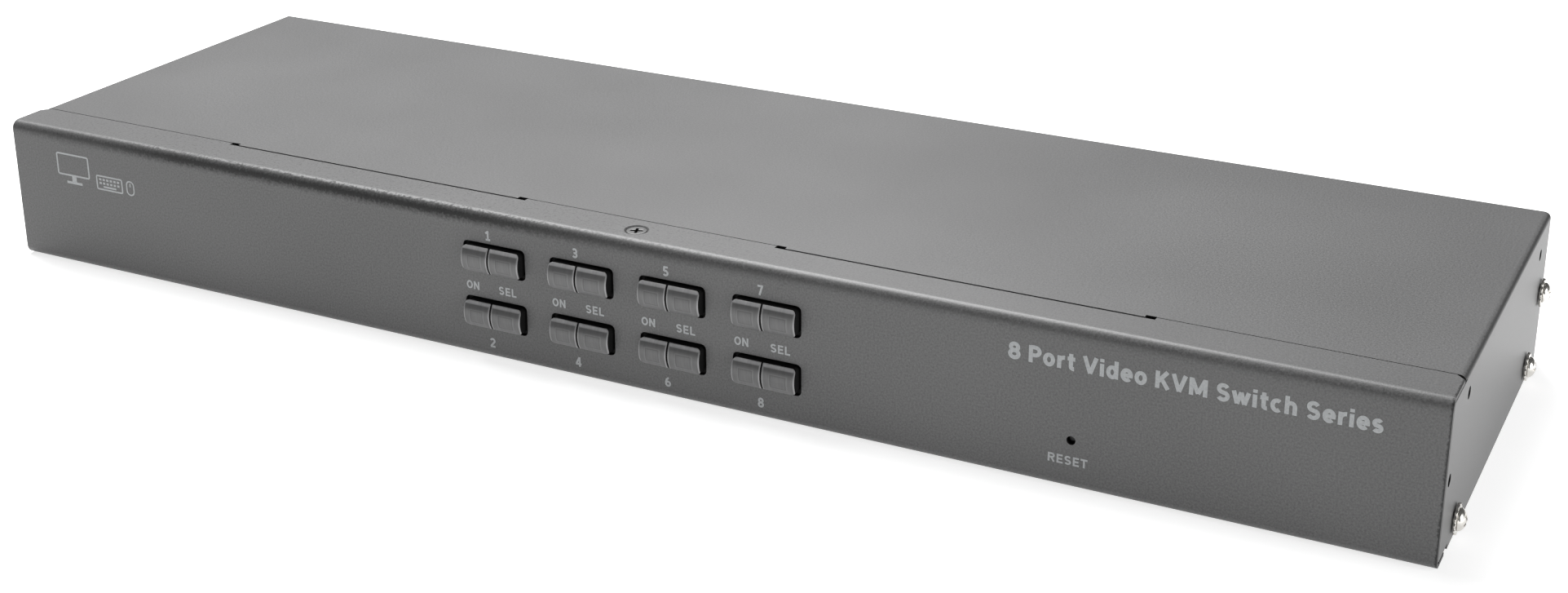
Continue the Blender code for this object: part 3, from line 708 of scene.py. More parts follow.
def boardMaterial():  # solder mask over copper tracks
    material = bpy.data.materials.new("solderMask")
    material.use_nodes = True
    tree = material.node_tree
    nodes, links = tree.nodes, tree.links
    shader = nodes["Principled BSDF"]
    shader.inputs["Roughness"].default_value = 0.35
    place = nodes.new("ShaderNodeTexCoord")
    place.label = "place on the board"
    tracks = nodes.new("ShaderNodeTexBrick")
    tracks.label = "copper tracks under the mask"
    tracks.inputs["Color1"].default_value = (0.015, 0.12, 0.045, 1)
    tracks.inputs["Color2"].default_value = (0.02, 0.15, 0.06, 1)
    tracks.inputs["Mortar"].default_value = (0.05, 0.24, 0.09, 1)
    tracks.inputs["Scale"].default_value = 260
    tracks.inputs["Mortar Size"].default_value = 0.08
    bump = nodes.new("ShaderNodeBump")
    bump.label = "track height"
    bump.inputs["Strength"].default_value = 0.2
    bump.inputs["Distance"].default_value = 0.00003
    etched = nodes.new("NodeFrame")
    etched.label = "etched tracks"
    tracks.parent = bump.parent = etched
    links.new(place.outputs["Object"], tracks.inputs["Vector"])
    links.new(tracks.outputs["Color"], shader.inputs["Base Color"])
    links.new(tracks.outputs["Fac"], bump.inputs["Height"])
    links.new(bump.outputs["Normal"], shader.inputs["Normal"])
    for node, spot in (
        (shader, (400, 0)), (place, (-900, 0)), (tracks, (-600, 100)), (bump, (-200, -200)),
    ):
        node.location = spot
    return material


# painted shade and highlight on the upper bends of the tray and the cover, as (height, left tone, right
# tone)
trayPaintedBend = (
    (39.4, 1.0, 1.0), (40.6, 0.6, 0.94), (41.5, 0.24, 0.8), (42.4, 0.22, 0.74),
    (43.1, 0.38, 1.02), (43.6, 0.64, 0.9), (43.9, 0.96, 1.0),
)
trayFade = ((-219, 0.8), (-190, 0.55), (-150, 0.08), (-60, 0.0), (0, 0.55), (70, 0.9), (219, 1.0))
evenFade = ((-219, 0.0), (219, 1.0))
coverPaintedBend = (
    (39.4, 1.0, 1.0), (42.2, 1.0, 0.95), (42.9, 0.85, 0.6),
    (43.3, 0.6, 0.3), (43.6, 0.7, 0.45), (43.8, 1.0, 1.0),
)
evenBand = ((39.4, 1.0, 1.0), (43.9, 1.0, 1.0))
coatGrey = (0.090, 0.090, 0.0904)
trayCoat = coatMaterial("coatOnTray", coatGrey, 0.55, 0.42, trayPaintedBend, trayFade, 2.4, 0.2)
coverCoat = coatMaterial("coatOnCover", coatGrey, 0.55, 0.42, coverPaintedBend, evenFade, 0.25)
evenCoat = coatMaterial("coatElsewhere", coatGrey, 0.55, 0.42, evenBand, evenFade, 0.1)
screwCoat = coatMaterial("coatOnScrew", (0.085, 0.085, 0.085), 0.4, 0.38, evenBand, evenFade, 0.1)
nickel = metalMaterial("nickelPlate", (0.80, 0.78, 0.74), 0.22, (1, 1, 1))
shellMetal = metalMaterial("platedShell", (0.34, 0.335, 0.325), 0.42, (1, 8, 1))
gold = metalMaterial("goldContact", (0.9, 0.66, 0.25), 0.25, (1, 6, 1))
aluminium = metalMaterial("bareAluminium", (0.7, 0.7, 0.72), 0.35, (8, 1, 1))
ink = plasticMaterial("paleInk", (0.305, 0.316, 0.321), 0.65, 1800)
black = plasticMaterial("blackPlastic", (0.012, 0.012, 0.013), 0.45, 900)
ribbonGrey = plasticMaterial("ribbonGrey", (0.33, 0.33, 0.35), 0.5, 700)
deepBlack = plasticMaterial("deepBlack", (0.006, 0.006, 0.006), 0.7, 900, 0.15)
lens = lensMaterial()
boardGreen = boardMaterial()
print("materials ready")


def placingTree():  # copies of a source object on every point, turned by the point's own attribute
    tree = bpy.data.node_groups.new("placeCopies", "GeometryNodeTree")
    face = tree.interface
    face.new_socket("Spots", in_out="INPUT", socket_type="NodeSocketGeometry")
    face.new_socket("Source", in_out="INPUT", socket_type="NodeSocketObject")
    face.new_socket("Size", in_out="INPUT", socket_type="NodeSocketFloat")
    face.new_socket("Finish", in_out="INPUT", socket_type="NodeSocketMaterial")
    face.new_socket("Copies", in_out="OUTPUT", socket_type="NodeSocketGeometry")
    nodes, links = tree.nodes, tree.links
    given = nodes.new("NodeGroupInput")
    given.label = "what is asked for"
    source = nodes.new("GeometryNodeObjectInfo")
    source.label = "the shape to repeat"
    turned = nodes.new("GeometryNodeInputNamedAttribute")
    turned.label = "turn of each copy"
    turned.data_type = "FLOAT_VECTOR"
    turned.inputs["Name"].default_value = "turn"
    sized = nodes.new("ShaderNodeCombineXYZ")
    sized.label = "even size"
    place = nodes.new("GeometryNodeInstanceOnPoints")
    place.label = "one on each spot"
    real = nodes.new("GeometryNodeRealizeInstances")
    real.label = "copies become real"
    finish = nodes.new("GeometryNodeSetMaterial")
    finish.label = "their finish"
    out = nodes.new("NodeGroupOutput")
    out.label = "the finished copies"
    shaping = nodes.new("NodeFrame")
    shaping.label = "shape, turn and size of each copy"
    for node in (source, turned, sized, place):
        node.parent = shaping
    links.new(given.outputs["Spots"], place.inputs["Points"])
    links.new(given.outputs["Source"], source.inputs["Object"])
    links.new(source.outputs["Geometry"], place.inputs["Instance"])
    links.new(turned.outputs["Attribute"], place.inputs["Rotation"])
    for axis in "XYZ":
        links.new(given.outputs["Size"], sized.inputs[axis])
    links.new(sized.outputs["Vector"], place.inputs["Scale"])
    links.new(place.outputs["Instances"], real.inputs["Geometry"])
    links.new(real.outputs["Geometry"], finish.inputs["Geometry"])
    links.new(given.outputs["Finish"], finish.inputs["Material"])
    links.new(finish.outputs["Geometry"], out.inputs["Copies"])
    for node, spot in (
        (given, (-800, 0)), (source, (-500, -200)), (turned, (-500, -450)), (sized, (-500, -650)),
        (place, (-200, 0)), (real, (50, 0)), (finish, (250, 0)), (out, (450, 0)),
    ):
        node.location = spot
    return tree


placeCopies = placingTree()


def copiesOn(name, source, spots, turns, material, size=1.0):  # spots in mm, turns as XYZ angles
    bm = bmesh.new()
    for spot in spots:
        bm.verts.new(Vector(spot) * mm)
    piece = newPiece(name, bm)
    turnData = piece.data.attributes.new("turn", "FLOAT_VECTOR", "POINT")
    for item, angles in zip(turnData.data, turns):
        item.vector = angles
    modifier = piece.modifiers.new("placed copies", "NODES")
    modifier.node_group = placeCopies
    inputs = {item.name: item.identifier for item in placeCopies.interface.items_tree}
    modifier[inputs["Source"]] = source
    modifier[inputs["Size"]] = size
    modifier[inputs["Finish"]] = material
    bpy.context.view_layer.update()
    settle(piece)
    paintPiece(piece, material)
    return piece


# which narrow cut faces get painted shade
cutEdgeShade = {"narrowest": 1.1, "sharpShare": 0.25}  # mm across, and share of the rim that is sharp
sheets = {  # how far the edges are softened in mm, and the coat
    "base_tray": (0.16, trayCoat),
    "top_cover": (0.16, coverCoat),
    "rear_panel": (0.14, evenCoat),
    "screw_lug": (0.1, evenCoat),
}


def markCutEdges(bm):  # 1 on the narrow faces where the sheet was cut, which get painted shade as in the seams
    mark = bm.faces.layers.float.new("cutEdgeShade")
    for face in bm.faces:
        around = sum(edge.calc_length() for edge in face.edges)
        shared = [edge for edge in face.edges if len(edge.link_faces) == 2]
        sharp = sum(edge.calc_length() for edge in shared if edge.calc_face_angle() > 1.0)
        narrow = 2 * face.calc_area() / around < cutEdgeShade["narrowest"] * mm
        face[mark] = 1.0 if narrow and sharp > cutEdgeShade["sharpShare"] * around else 0.0


def packedMesh(node):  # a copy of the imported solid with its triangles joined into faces
    bm = bmesh.new()
    bm.from_mesh(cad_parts[node].data)
    bmesh.ops.remove_doubles(bm, verts=bm.verts, dist=2e-6)
    bmesh.ops.dissolve_limit(bm, angle_limit=math.radians(0.6), verts=bm.verts, edges=bm.edges)
    return bm


def refinedSheet(node, edge, material):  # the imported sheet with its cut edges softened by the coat
    bm = packedMesh(node)
    markCutEdges(bm)
    sheet = newPiece(node + "_sheet", bm)
    softenEdges(sheet, edge)
    paintPiece(sheet, material)
    return finishPiece(sheet, "chassis", "powder_coat", node)


for node, (edge, material) in sheets.items():
    refinedSheet(node, edge, material)
print("sheets ready")


lettering = {
    "proud": 0.03,
    "sunk": 0.02,
    "front": -66.0,
    "weight": 0.2,
    "titleWeight": 0.235,
    "spacing": 0.09,
    "digit": 2.85,
    "word": 2.4,
    "title": 4.55,
    "digitHigh": 35.85,
    "digitLow": 3.5,
    "wordLow": 20.3,
    "titleSpan": (111.5, 204.0),
    "titleLow": 32.45,
    "digitAcross": -1.85,
    "onAcross": -7.55,
    "onWidth": 4.35,
    "selAcross": 3.95,
    "selWidth": 5.95,
    "resetAt": (128.2, 6.7),
    "resetWidth": 10.6,
    "rearLow": 26.0,
    "consoleAt": (-158.0, 28.0),
}


def bowl(x, z, rx, rz, start, end, steps=12):
    turns = [math.radians(start + (end - start) * i / steps) for i in range(steps + 1)]
    return [(x + rx * math.cos(t), z + rz * math.sin(t)) for t in turns]


def hoop(x, z, rx, rz):
    return bowl(x, z, rx, rz, 0, 360, 24)


glyphs = {  # strokes on a cap height of 1, each followed through its middle
    "1": (0.62, [[(0.1, 0.72), (0.34, 0.93)], [(0.34, 1.0), (0.34, 0.0)], [(0.1, 0.08), (0.58, 0.08)]]),
    "2": (0.62, [bowl(0.31, 0.68, 0.2, 0.225, 165, -30), [(0.5, 0.62), (0.1, 0.1)],
                 [(0.06, 0.09), (0.57, 0.09)]]),
    "3": (0.62, [bowl(0.3, 0.7, 0.18, 0.205, 150, -90), bowl(0.3, 0.3, 0.2, 0.205, 90, -150),
                 [(0.2, 0.5), (0.32, 0.5)]]),
    "4": (0.66, [[(0.4, 0.95), (0.1, 0.3)], [(0.03, 0.28), (0.62, 0.28)], [(0.44, 1.0), (0.44, 0.0)]]),
    "5": (0.62, [[(0.54, 0.91), (0.15, 0.91)], [(0.19, 0.96), (0.15, 0.5)],
                 bowl(0.3, 0.32, 0.205, 0.225, 130, -150)]),
    "6": (0.62, [hoop(0.32, 0.31, 0.2, 0.215), bowl(0.42, 0.4, 0.3, 0.49, 95, 190)]),
    "7": (0.58, [[(0.04, 0.91), (0.55, 0.91)], [(0.49, 0.96), (0.22, 0.0)]]),
    "8": (0.62, [hoop(0.31, 0.715, 0.17, 0.19), hoop(0.31, 0.305, 0.2, 0.21)]),
    "O": (0.76, [hoop(0.38, 0.5, 0.275, 0.41)]),
    "N": (0.72, [[(0.12, 0.0), (0.12, 1.0)], [(0.13, 0.93), (0.59, 0.07)], [(0.6, 0.0), (0.6, 1.0)]]),
    "S": (0.62, [bowl(0.31, 0.705, 0.19, 0.205, 25, 250), [(0.2, 0.535), (0.42, 0.465)],
                 bowl(0.31, 0.3, 0.2, 0.21, 70, -155)]),
    "E": (0.58, [[(0.12, 0.0), (0.12, 1.0)], [(0.12, 0.91), (0.53, 0.91)], [(0.12, 0.5), (0.5, 0.5)],
                 [(0.12, 0.09), (0.55, 0.09)]]),
    "L": (0.54, [[(0.12, 0.0), (0.12, 1.0)], [(0.12, 0.09), (0.52, 0.09)]]),
    "R": (0.66, [[(0.12, 0.0), (0.12, 1.0)], [(0.12, 0.91), (0.34, 0.91)], [(0.12, 0.5), (0.34, 0.5)],
                 bowl(0.34, 0.705, 0.2, 0.205, 90, -90), [(0.33, 0.52), (0.56, 0.0)]]),
    "T": (0.6, [[(0.02, 0.91), (0.58, 0.91)], [(0.3, 0.9), (0.3, 0.0)]]),
    "P": (0.62, [[(0.12, 0.0), (0.12, 1.0)], [(0.12, 0.91), (0.32, 0.91)], [(0.12, 0.45), (0.32, 0.45)],
                 bowl(0.32, 0.68, 0.21, 0.23, 90, -90)]),
    "K": (0.68, [[(0.12, 0.0), (0.12, 1.0)], [(0.16, 0.4), (0.56, 1.0)], [(0.29, 0.58), (0.6, 0.0)]]),
    "V": (0.68, [[(0.07, 1.0), (0.34, 0.03)], [(0.61, 1.0), (0.34, 0.03)]]),
    "M": (0.86, [[(0.12, 0.0), (0.12, 1.0)], [(0.14, 0.95), (0.43, 0.12)], [(0.72, 0.95), (0.43, 0.12)],
                 [(0.74, 0.0), (0.74, 1.0)]]),
    "C": (0.68, [bowl(0.38, 0.5, 0.27, 0.41, 50, 310)]),
    "D": (0.7, [[(0.12, 0.0), (0.12, 1.0)], [(0.12, 0.91), (0.28, 0.91)], [(0.12, 0.09), (0.28, 0.09)],
                bowl(0.28, 0.5, 0.31, 0.41, 90, -90)]),
    "o": (0.57, [hoop(0.285, 0.37, 0.185, 0.285)]),
    "r": (0.4, [[(0.12, 0.0), (0.12, 0.74)], bowl(0.36, 0.36, 0.24, 0.3, 165, 85)]),
    "t": (0.4, [[(0.19, 0.96), (0.19, 0.18)], bowl(0.32, 0.2, 0.13, 0.11, 185, 280),
                [(0.03, 0.66), (0.38, 0.66)]]),
    "i": (0.24, [[(0.12, 0.0), (0.12, 0.74)], [(0.12, 0.84), (0.12, 1.03)]]),
    "d": (0.58, [hoop(0.275, 0.37, 0.175, 0.285), [(0.46, 0.0), (0.46, 1.03)]]),
    "e": (0.56, [bowl(0.285, 0.37, 0.185, 0.285, 0, 315, 20), [(0.12, 0.36), (0.56, 0.36)]]),
    "w": (0.8, [[(0.07, 0.74), (0.24, 0.03)], [(0.24, 0.03), (0.4, 0.7)], [(0.4, 0.7), (0.56, 0.03)],
                [(0.56, 0.03), (0.73, 0.74)]]),
    "c": (0.52, [bowl(0.285, 0.37, 0.185, 0.285, 50, 310, 16)]),
    "h": (0.58, [[(0.12, 0.0), (0.12, 1.03)], bowl(0.29, 0.44, 0.17, 0.215, 180, 0),
                 [(0.46, 0.46), (0.46, 0.0)]]),
    "s": (0.5, [bowl(0.25, 0.51, 0.14, 0.15, 30, 250), [(0.17, 0.4), (0.33, 0.34)],
                bowl(0.25, 0.225, 0.15, 0.15, 70, -150)]),
    " ": (0.2, []),
}


def strokePrism(bm, points, half, y, depth):  # a stroke of even width with square ends
    count = len(points)
    closed = count > 3 and math.dist(points[0], points[-1]) < 1e-6
    if closed:
        points, count = points[:-1], count - 1
    rings = []
    for i, (x, z) in enumerate(points):
        before = Vector(points[i - 1]) if closed or i > 0 else None
        after = Vector(points[(i + 1) % count]) if closed or i < count - 1 else None
        here = Vector((x, z))
        along = ((after if after else here) - (before if before else here)).normalized()
        side = Vector((-along.y, along.x)) * half
        ring = [bm.verts.new((px, py, pz)) for px, pz, py in (
            (x + side.x, z + side.y, y), (x - side.x, z - side.y, y),
            (x - side.x, z - side.y, y + depth), (x + side.x, z + side.y, y + depth))]
        rings.append(ring)
    faces = []
    for i in range(count if closed else count - 1):
        a, b = rings[i], rings[(i + 1) % count]
        faces += [bm.faces.new((a[k], a[(k + 1) % 4], b[(k + 1) % 4], b[k])) for k in range(4)]
    if not closed:
        faces += [bm.faces.new(rings[0][::-1]), bm.faces.new(rings[-1])]
    bmesh.ops.recalc_face_normals(bm, faces=faces)


def textWidth(text, broad=1.0):
    return sum(glyphs[letter][0] * broad for letter in text) + lettering["spacing"] * (len(text) - 1)


def broadFor(text, width, height):  # how far the letters are widened to fill a width
    plain = sum(glyphs[letter][0] for letter in text)
    return (width / height - lettering["spacing"] * (len(text) - 1)) / plain


# Plain lettering centred on x, one joined mesh of strokes lying on the front or the rear face.
def inkText(text, height, x, z, broad=1.1, weight=None, rear=False):
    start = x - textWidth(text, broad) * height / 2
    half = (weight or lettering["weight"]) / 2 * height * mm
    thin = (lettering["proud"] + lettering["sunk"]) * mm
    face = (lettering["front"] - lettering["proud"]) * mm
    strokes = []
    for letter in text:
        advance, lines = glyphs[letter]
        for line in lines:
            bm = bmesh.new()
            points = [((start + px * broad * height) * mm, (z + pz * height) * mm) for px, pz in line]
            strokePrism(bm, points, half, face, thin)
            strokes.append(newPiece("stroke", bm))
        start += (advance * broad + lettering["spacing"]) * height
    last = strokes.pop()
    if strokes:
        word = mergeInto("word", strokes)
        union = word.modifiers.new("one skin", "BOOLEAN")
        union.operation = "UNION"
        union.solver = "EXACT"
        union.use_self = True
        union.object = last
        settle(word)
        bpy.data.objects.remove(last)
    else:
        word = last
    if rear:
        halfTurn = Matrix.Rotation(math.radians(180), 4, "Z")
        word.data.transform(Matrix.Translation((2 * x * mm, 0, 0)) @ halfTurn)
    return paintPiece(word, ink)


picture = {  # each as (left, low, right, high) in mm from its corner, outlines with corner and line width
    "corner": (-202.0, 26.6),
    "outlines": (
        ((0, 2.9, 13, 10.2), 0.8, 0.55),  # screen
        ((15.5, 0.4, 26, 5.2), 0.7, 0.5),  # keyboard
        ((27.4, 0.4, 30.6, 5.2), 1.5, 0.45),  # mouse
    ),
    "bars": ((5.6, 1.2, 7.4, 2.9), (3.4, 0.4, 9.6, 1.2), (18.2, 1.25, 23.3, 1.85), (28.8, 3.2, 29.2, 4.3)),
    "keyRows": (3.5, 2.3),
    "keys": 6,
    "keyStart": 16.7,
    "keyStep": 1.42,
    "keySize": (0.9, 0.7),
}


def pictogram():  # screen, keyboard and mouse drawn in outline
    bm = bmesh.new()
    face = lettering["front"] - lettering["proud"]
    back = lettering["front"] + lettering["sunk"]
    left, low = picture["corner"]
    for (x0, z0, x1, z1), radius, line in picture["outlines"]:
        middle = (left + (x0 + x1) / 2, low + (z0 + z1) / 2)
        outer = roundedBox(x1 - x0, z1 - z0, radius, middle=middle)
        inner = roundedBox(x1 - x0 - 2 * line, z1 - z0 - 2 * line, max(radius - line, 0.05), middle=middle)
        addTube(bm, outer, inner, face, back)
    bars = list(picture["bars"])
    width, height = picture["keySize"]
    for z in picture["keyRows"]:
        for key in range(picture["keys"]):
            x = picture["keyStart"] + key * picture["keyStep"]
            bars.append((x, z, x + width, z + height))
    for x0, z0, x1, z1 in bars:
        corners = ((x0, z0), (x1, z0), (x1, z1), (x0, z1))
        addPrism(bm, [(left + x, low + z) for x, z in corners], face, back)
    return paintPiece(newPiece("pictogram", bm), ink)


buttonX = [nodeMiddle(f"port_button_{n}")[0] for n in (1, 3, 5, 7)]
words = []
for column, x in enumerate(buttonX):
    for row, low in enumerate(("digitHigh", "digitLow"), start=1):
        digit = str(2 * column + row)
        words.append(inkText(digit, lettering["digit"], x + lettering["digitAcross"], lettering[low]))
    for word, across, width in (("ON", "onAcross", "onWidth"), ("SEL", "selAcross", "selWidth")):
        broad = broadFor(word, lettering[width], lettering["word"])
        words.append(inkText(word, lettering["word"], x + lettering[across], lettering["wordLow"], broad))
title = "8 Port Video KVM Switch Series"
start, end = lettering["titleSpan"]
titleBroad = broadFor(title, end - start, lettering["title"])
titlePlace = ((start + end) / 2, lettering["titleLow"])
words.append(inkText(title, lettering["title"], *titlePlace, titleBroad, lettering["titleWeight"]))
resetBroad = broadFor("RESET", lettering["resetWidth"], lettering["word"])
words.append(inkText("RESET", lettering["word"], *lettering["resetAt"], resetBroad))
words.append(pictogram())
frontInk = mergeInto("front_lettering", words)
finishPiece(frontInk, "chassis", "powder_coat")

labels = []
for port in range(1, 9):
    x = sum(nodeMiddle(f"port_{kind}_socket_{port}")[0] for kind in ("video", "data")) / 2
    labels.append(inkText(str(port), lettering["digit"], x, lettering["rearLow"], rear=True))
labels.append(inkText("CONSOLE", lettering["word"], *lettering["consoleAt"], rear=True))
inletPlace = (nodeMiddle("power_inlet")[0], lettering["rearLow"])
labels.append(inkText("DC", lettering["word"], *inletPlace, rear=True))
rearInk = mergeInto("rear_lettering", labels)
finishPiece(rearInk, "chassis", "powder_coat")
print("lettering ready, title letters widened", round(titleBroad, 3))


cap = {
    "width": 18.6,
    "height": 7.6,
    "corner": 1.2,
    "edge": 1.6,
    "crown": 1.2,
    "lens": 0.36,
    "lensEdge": 0.2,
    "splitAt": -0.6,
    "split": 0.62,
    "strips": 18,
    "stop": (21.9, 10.8, 1.3, 2.3),
    "stem": (1.6, 4.6),
}


def crownAt(z):
    return -(cap["edge"] + cap["crown"] * (1 - (2 * z / cap["height"]) ** 2))


def crownedSlab(outline, frontShift, back):  # outline of (x, z) whose front follows the crown
    bm = bmesh.new()
    bm.faces.new([bm.verts.new((x, 0, z)) for x, z in outline])
    for i in range(1, cap["strips"]):
        z = cap["height"] * (i / cap["strips"] - 0.5)
        geometry = bm.verts[:] + bm.edges[:] + bm.faces[:]
        bmesh.ops.bisect_plane(bm, geom=geometry, plane_co=(0, 0, z), plane_no=(0, 0, 1))
    grown = bmesh.ops.extrude_face_region(bm, geom=bm.faces[:])
    rear = {v for v in grown["geom"] if isinstance(v, bmesh.types.BMVert)}
    for vert in bm.verts:
        vert.co.y = back(vert.co.z) if vert in rear else crownAt(vert.co.z) + frontShift
    bmesh.ops.recalc_face_normals(bm, faces=bm.faces)
    return bm


def lensHalf(start, end):
    h, r = cap["height"] / 2, cap["corner"]
    outer = [(x, z) for x, z in roundedBox(cap["width"], cap["height"], r, steps=6) if start <= x <= end]
    inner = end if start < 0 and end < 0 else start
    outer += [(inner, h), (inner, -h)]
    middleX = (start + end) / 2
    outer.sort(key=lambda p: math.atan2(p[1], p[0] - middleX))
    bm = crownedSlab(outer, 0, lambda z: crownAt(z) + cap["lens"])
    place = bm.loops.layers.uv.new("lensPlace")
    for face in bm.faces:
        for loop in face.loops:
            x, _, z = loop.vert.co
            loop[place].uv = ((x - start) / (end - start), z / cap["height"] + 0.5)
    bmesh.ops.scale(bm, vec=(mm, mm, mm), verts=bm.verts)
    half = newPiece("lensHalf", bm)
    softenEdges(half, cap["lensEdge"], segments=3)
    return paintPiece(half, lens)


def capBody():
    outline = roundedBox(cap["width"] - 0.06, cap["height"] - 0.06, cap["corner"], steps=6)
    bm = crownedSlab(outline, cap["lens"] + 0.03, lambda z: cap["stop"][2] + 0.2)
    bmesh.ops.scale(bm, vec=(mm, mm, mm), verts=bm.verts)
    width, height, start, end = cap["stop"]
    addPrism(bm, roundedBox(width, height, 0.6), start, end)
    radius, reach = cap["stem"]
    addPrism(bm, roundedBox(radius * 2, radius * 2, radius * 0.98, steps=8), end - 0.3, reach)
    return paintPiece(newPiece("capBody", bm), deepBlack)


def portButtons():
    half = cap["split"] / 2
    left = lensHalf(-cap["width"] / 2, cap["splitAt"] - half)
    right = lensHalf(cap["splitAt"] + half, cap["width"] / 2)
    glass = mergeInto("lensPair", [left, right])
    holder = capBody()
    for number in range(1, 9):
        x, _, z = nodeMiddle(f"port_button_{number}")
        place = Matrix.Translation((x * mm, lettering["front"] * mm, z * mm))
        for source, name, slot in ((glass, "lens", "smoked_lens"), (holder, "body", "black_plastic")):
            mesh = source.data.copy()
            mesh.transform(place)
            piece = bpy.data.objects.new(f"button_{number}_{name}", mesh)
            bpy.context.scene.collection.objects.link(piece)
            nodes = [f"port_button_{number}"] if name == "lens" else []
            finishPiece(piece, f"button_{number}", slot, *nodes)
    for source in (glass, holder):
        bpy.data.objects.remove(source)


portButtons()
print("buttons ready")


screws = {
    "washer": (3.55, 0.3, 0.95),
    "washerHole": 1.6,
    "teeth": 14,
    "toothDepth": 0.42,
    "head": [
        (0, 2.65), (0.7, 2.62), (1.3, 2.48), (1.85, 2.2),
        (2.3, 1.82), (2.58, 1.4), (2.62, 1.12), (2.5, 1.0),
    ],
    "shank": (1.5, -5.5),
    "recess": (2.0, 0.5, 1.15),
    "sideScale": 1.12,
    "sideFace": 219,
    "spin": (23, 31),
    "flangeRim": 2.85,
    "flangeRecess": (2.05, 0.5, -1.4),
    "flangeTurn": 20,
    "flangeShade": (2.2, 43.72),  # how far out and below what height the recess is painted deep black as shade
}


def circle(radius, count, middle=(0, 0)):
    turns = [2 * math.pi * i / count for i in range(count)]
    return [(middle[0] + radius * math.cos(t), middle[1] + radius * math.sin(t)) for t in turns]


def turnedProfile(name, profile, segments=48):  # profile of (radius, height) turned about z
    bm = bmesh.new()
    rings = []
    for radius, height in profile:
        if radius < 1e-6:
            rings.append([bm.verts.new((0, 0, height * mm))])
            continue
        rings.append([bm.verts.new((x * mm, y * mm, height * mm)) for x, y in circle(radius, segments)])
    for a, b in zip(rings, rings[1:]):
        for i in range(segments):
            j = (i + 1) % segments
            corners = [a[i % len(a)], a[j % len(a)], b[j % len(b)], b[i % len(b)]]
            bm.faces.new(list(dict.fromkeys(corners)))
    bmesh.ops.recalc_face_normals(bm, faces=bm.faces)
    return newPiece(name, bm)


def crossCutter(arm, half, bottom, top):  # four arms that narrow as they go down
    bm = bmesh.new()
    rings = []
    for z, scale in ((bottom, 0.55), (top, 1.0)):
        corner = [(half, half), (half * 0.8, arm), (-half * 0.8, arm)]
        ring = []
        for quarter in range(4):
            turn = Matrix.Rotation(math.radians(90 * quarter), 2)
            for point in corner:
                x, y = turn @ Vector(point)
                ring.append(bm.verts.new((x * scale * mm, y * scale * mm, z * mm)))
        rings.append(ring)
    bm.faces.new(rings[0][::-1])
    bm.faces.new(rings[1])
    for i in range(12):
        j = (i + 1) % 12
        bm.faces.new((rings[0][i], rings[0][j], rings[1][j], rings[1][i]))
    bmesh.ops.recalc_face_normals(bm, faces=bm.faces)
    return newPiece("crossCutter", bm)


def carve(piece, cutter):
    modifier = piece.modifiers.new("carve", "BOOLEAN")
    modifier.operation = "DIFFERENCE"
    modifier.solver = "EXACT"
    modifier.object = cutter
    settle(piece)
    bpy.data.objects.remove(cutter)
    return piece


def toothedWasher():
    radius, low, high = screws["washer"]
    count = screws["teeth"] * 4
    tips, roots = circle(radius, count), circle(radius - screws["toothDepth"], count)
    outline = [tips[i] if i % 4 < 2 else roots[i] for i in range(count)]
    inner = circle(screws["washerHole"], count)
    bm = bmesh.new()
    addTube(bm, outline, inner, -high, -low)
    bmesh.ops.rotate(bm, cent=(0, 0, 0), matrix=Matrix.Rotation(math.radians(-90), 3, "X"), verts=bm.verts)
    bmesh.ops.recalc_face_normals(bm, faces=bm.faces)
    washer = newPiece("toothedWasher", bm)
    return softenEdges(washer, 0.08)


def sideScrews():
    radius, end = screws["shank"]
    profile = screws["head"] + [(radius, 1.0), (radius, end), (0, end)]
    head = turnedProfile("screwHead", profile)
    arm, half, bottom = screws["recess"]
    carve(head, crossCutter(arm, half, bottom, 3.4))
    softenEdges(head, 0.06, angle=40)
    paintPiece(head, nickel)
    washer = paintPiece(toothedWasher(), nickel)
    screw = mergeInto("screwSource", [head, washer])
    spots, turns, names = [], [], []
    for side, sign in (("right", 1), ("left", -1)):
        for number in (1, 2, 3):
            name = f"side_screw_{side}_{number}"
            _, y, z = nodeMiddle(name)
            spots.append((sign * screws["sideFace"], y, z))
            spin = Matrix.Rotation(math.radians(screws["spin"][0] + screws["spin"][1] * number), 3, "X")
            turns.append((spin @ Matrix.Rotation(math.radians(90 * sign), 3, "Y")).to_euler("XYZ"))
            names.append(name)
    placed = copiesOn("side_screws", screw, spots, turns, nickel, screws["sideScale"])
    bpy.data.objects.remove(screw)
    return finishPiece(placed, "chassis", "nickel", *names)


def flangeScrew():
    rim = screws["flangeRim"]
    profile = [(0, -0.2), (rim - 0.9, -0.18), (rim - 0.35, -0.16), (rim - 0.12, -0.2), (rim, -0.36)]
    profile += [(1.5, -1.85), (1.5, -6), (0, -6)]
    screw = turnedProfile("flangeScrew", profile)
    carve(screw, crossCutter(*screws["flangeRecess"], 0.4))
    softenEdges(screw, 0.05, angle=40)
    x, y, _ = nodeMiddle("flange_screw")
    turned = Matrix.Rotation(math.radians(screws["flangeTurn"]), 4, "Z")
    screw.data.transform(Matrix.Translation((x * mm, y * mm, 0.044)) @ turned)
    paintPiece(screw, screwCoat)
    # deep black here is painted shade in the cross recess
    screw.data.materials.append(deepBlack)
    middle = Vector((x * mm, y * mm))
    reach, sunk = screws["flangeShade"]
    for face in screw.data.polygons:  # the recess gets painted shade in deep black
        if face.center.z < sunk * mm and (face.center.xy - middle).length < reach * mm:
            face.material_index = 1
    return finishPiece(screw, "chassis", "powder_coat", "flange_screw")


sideScrews()
flangeScrew()
print("screws ready")


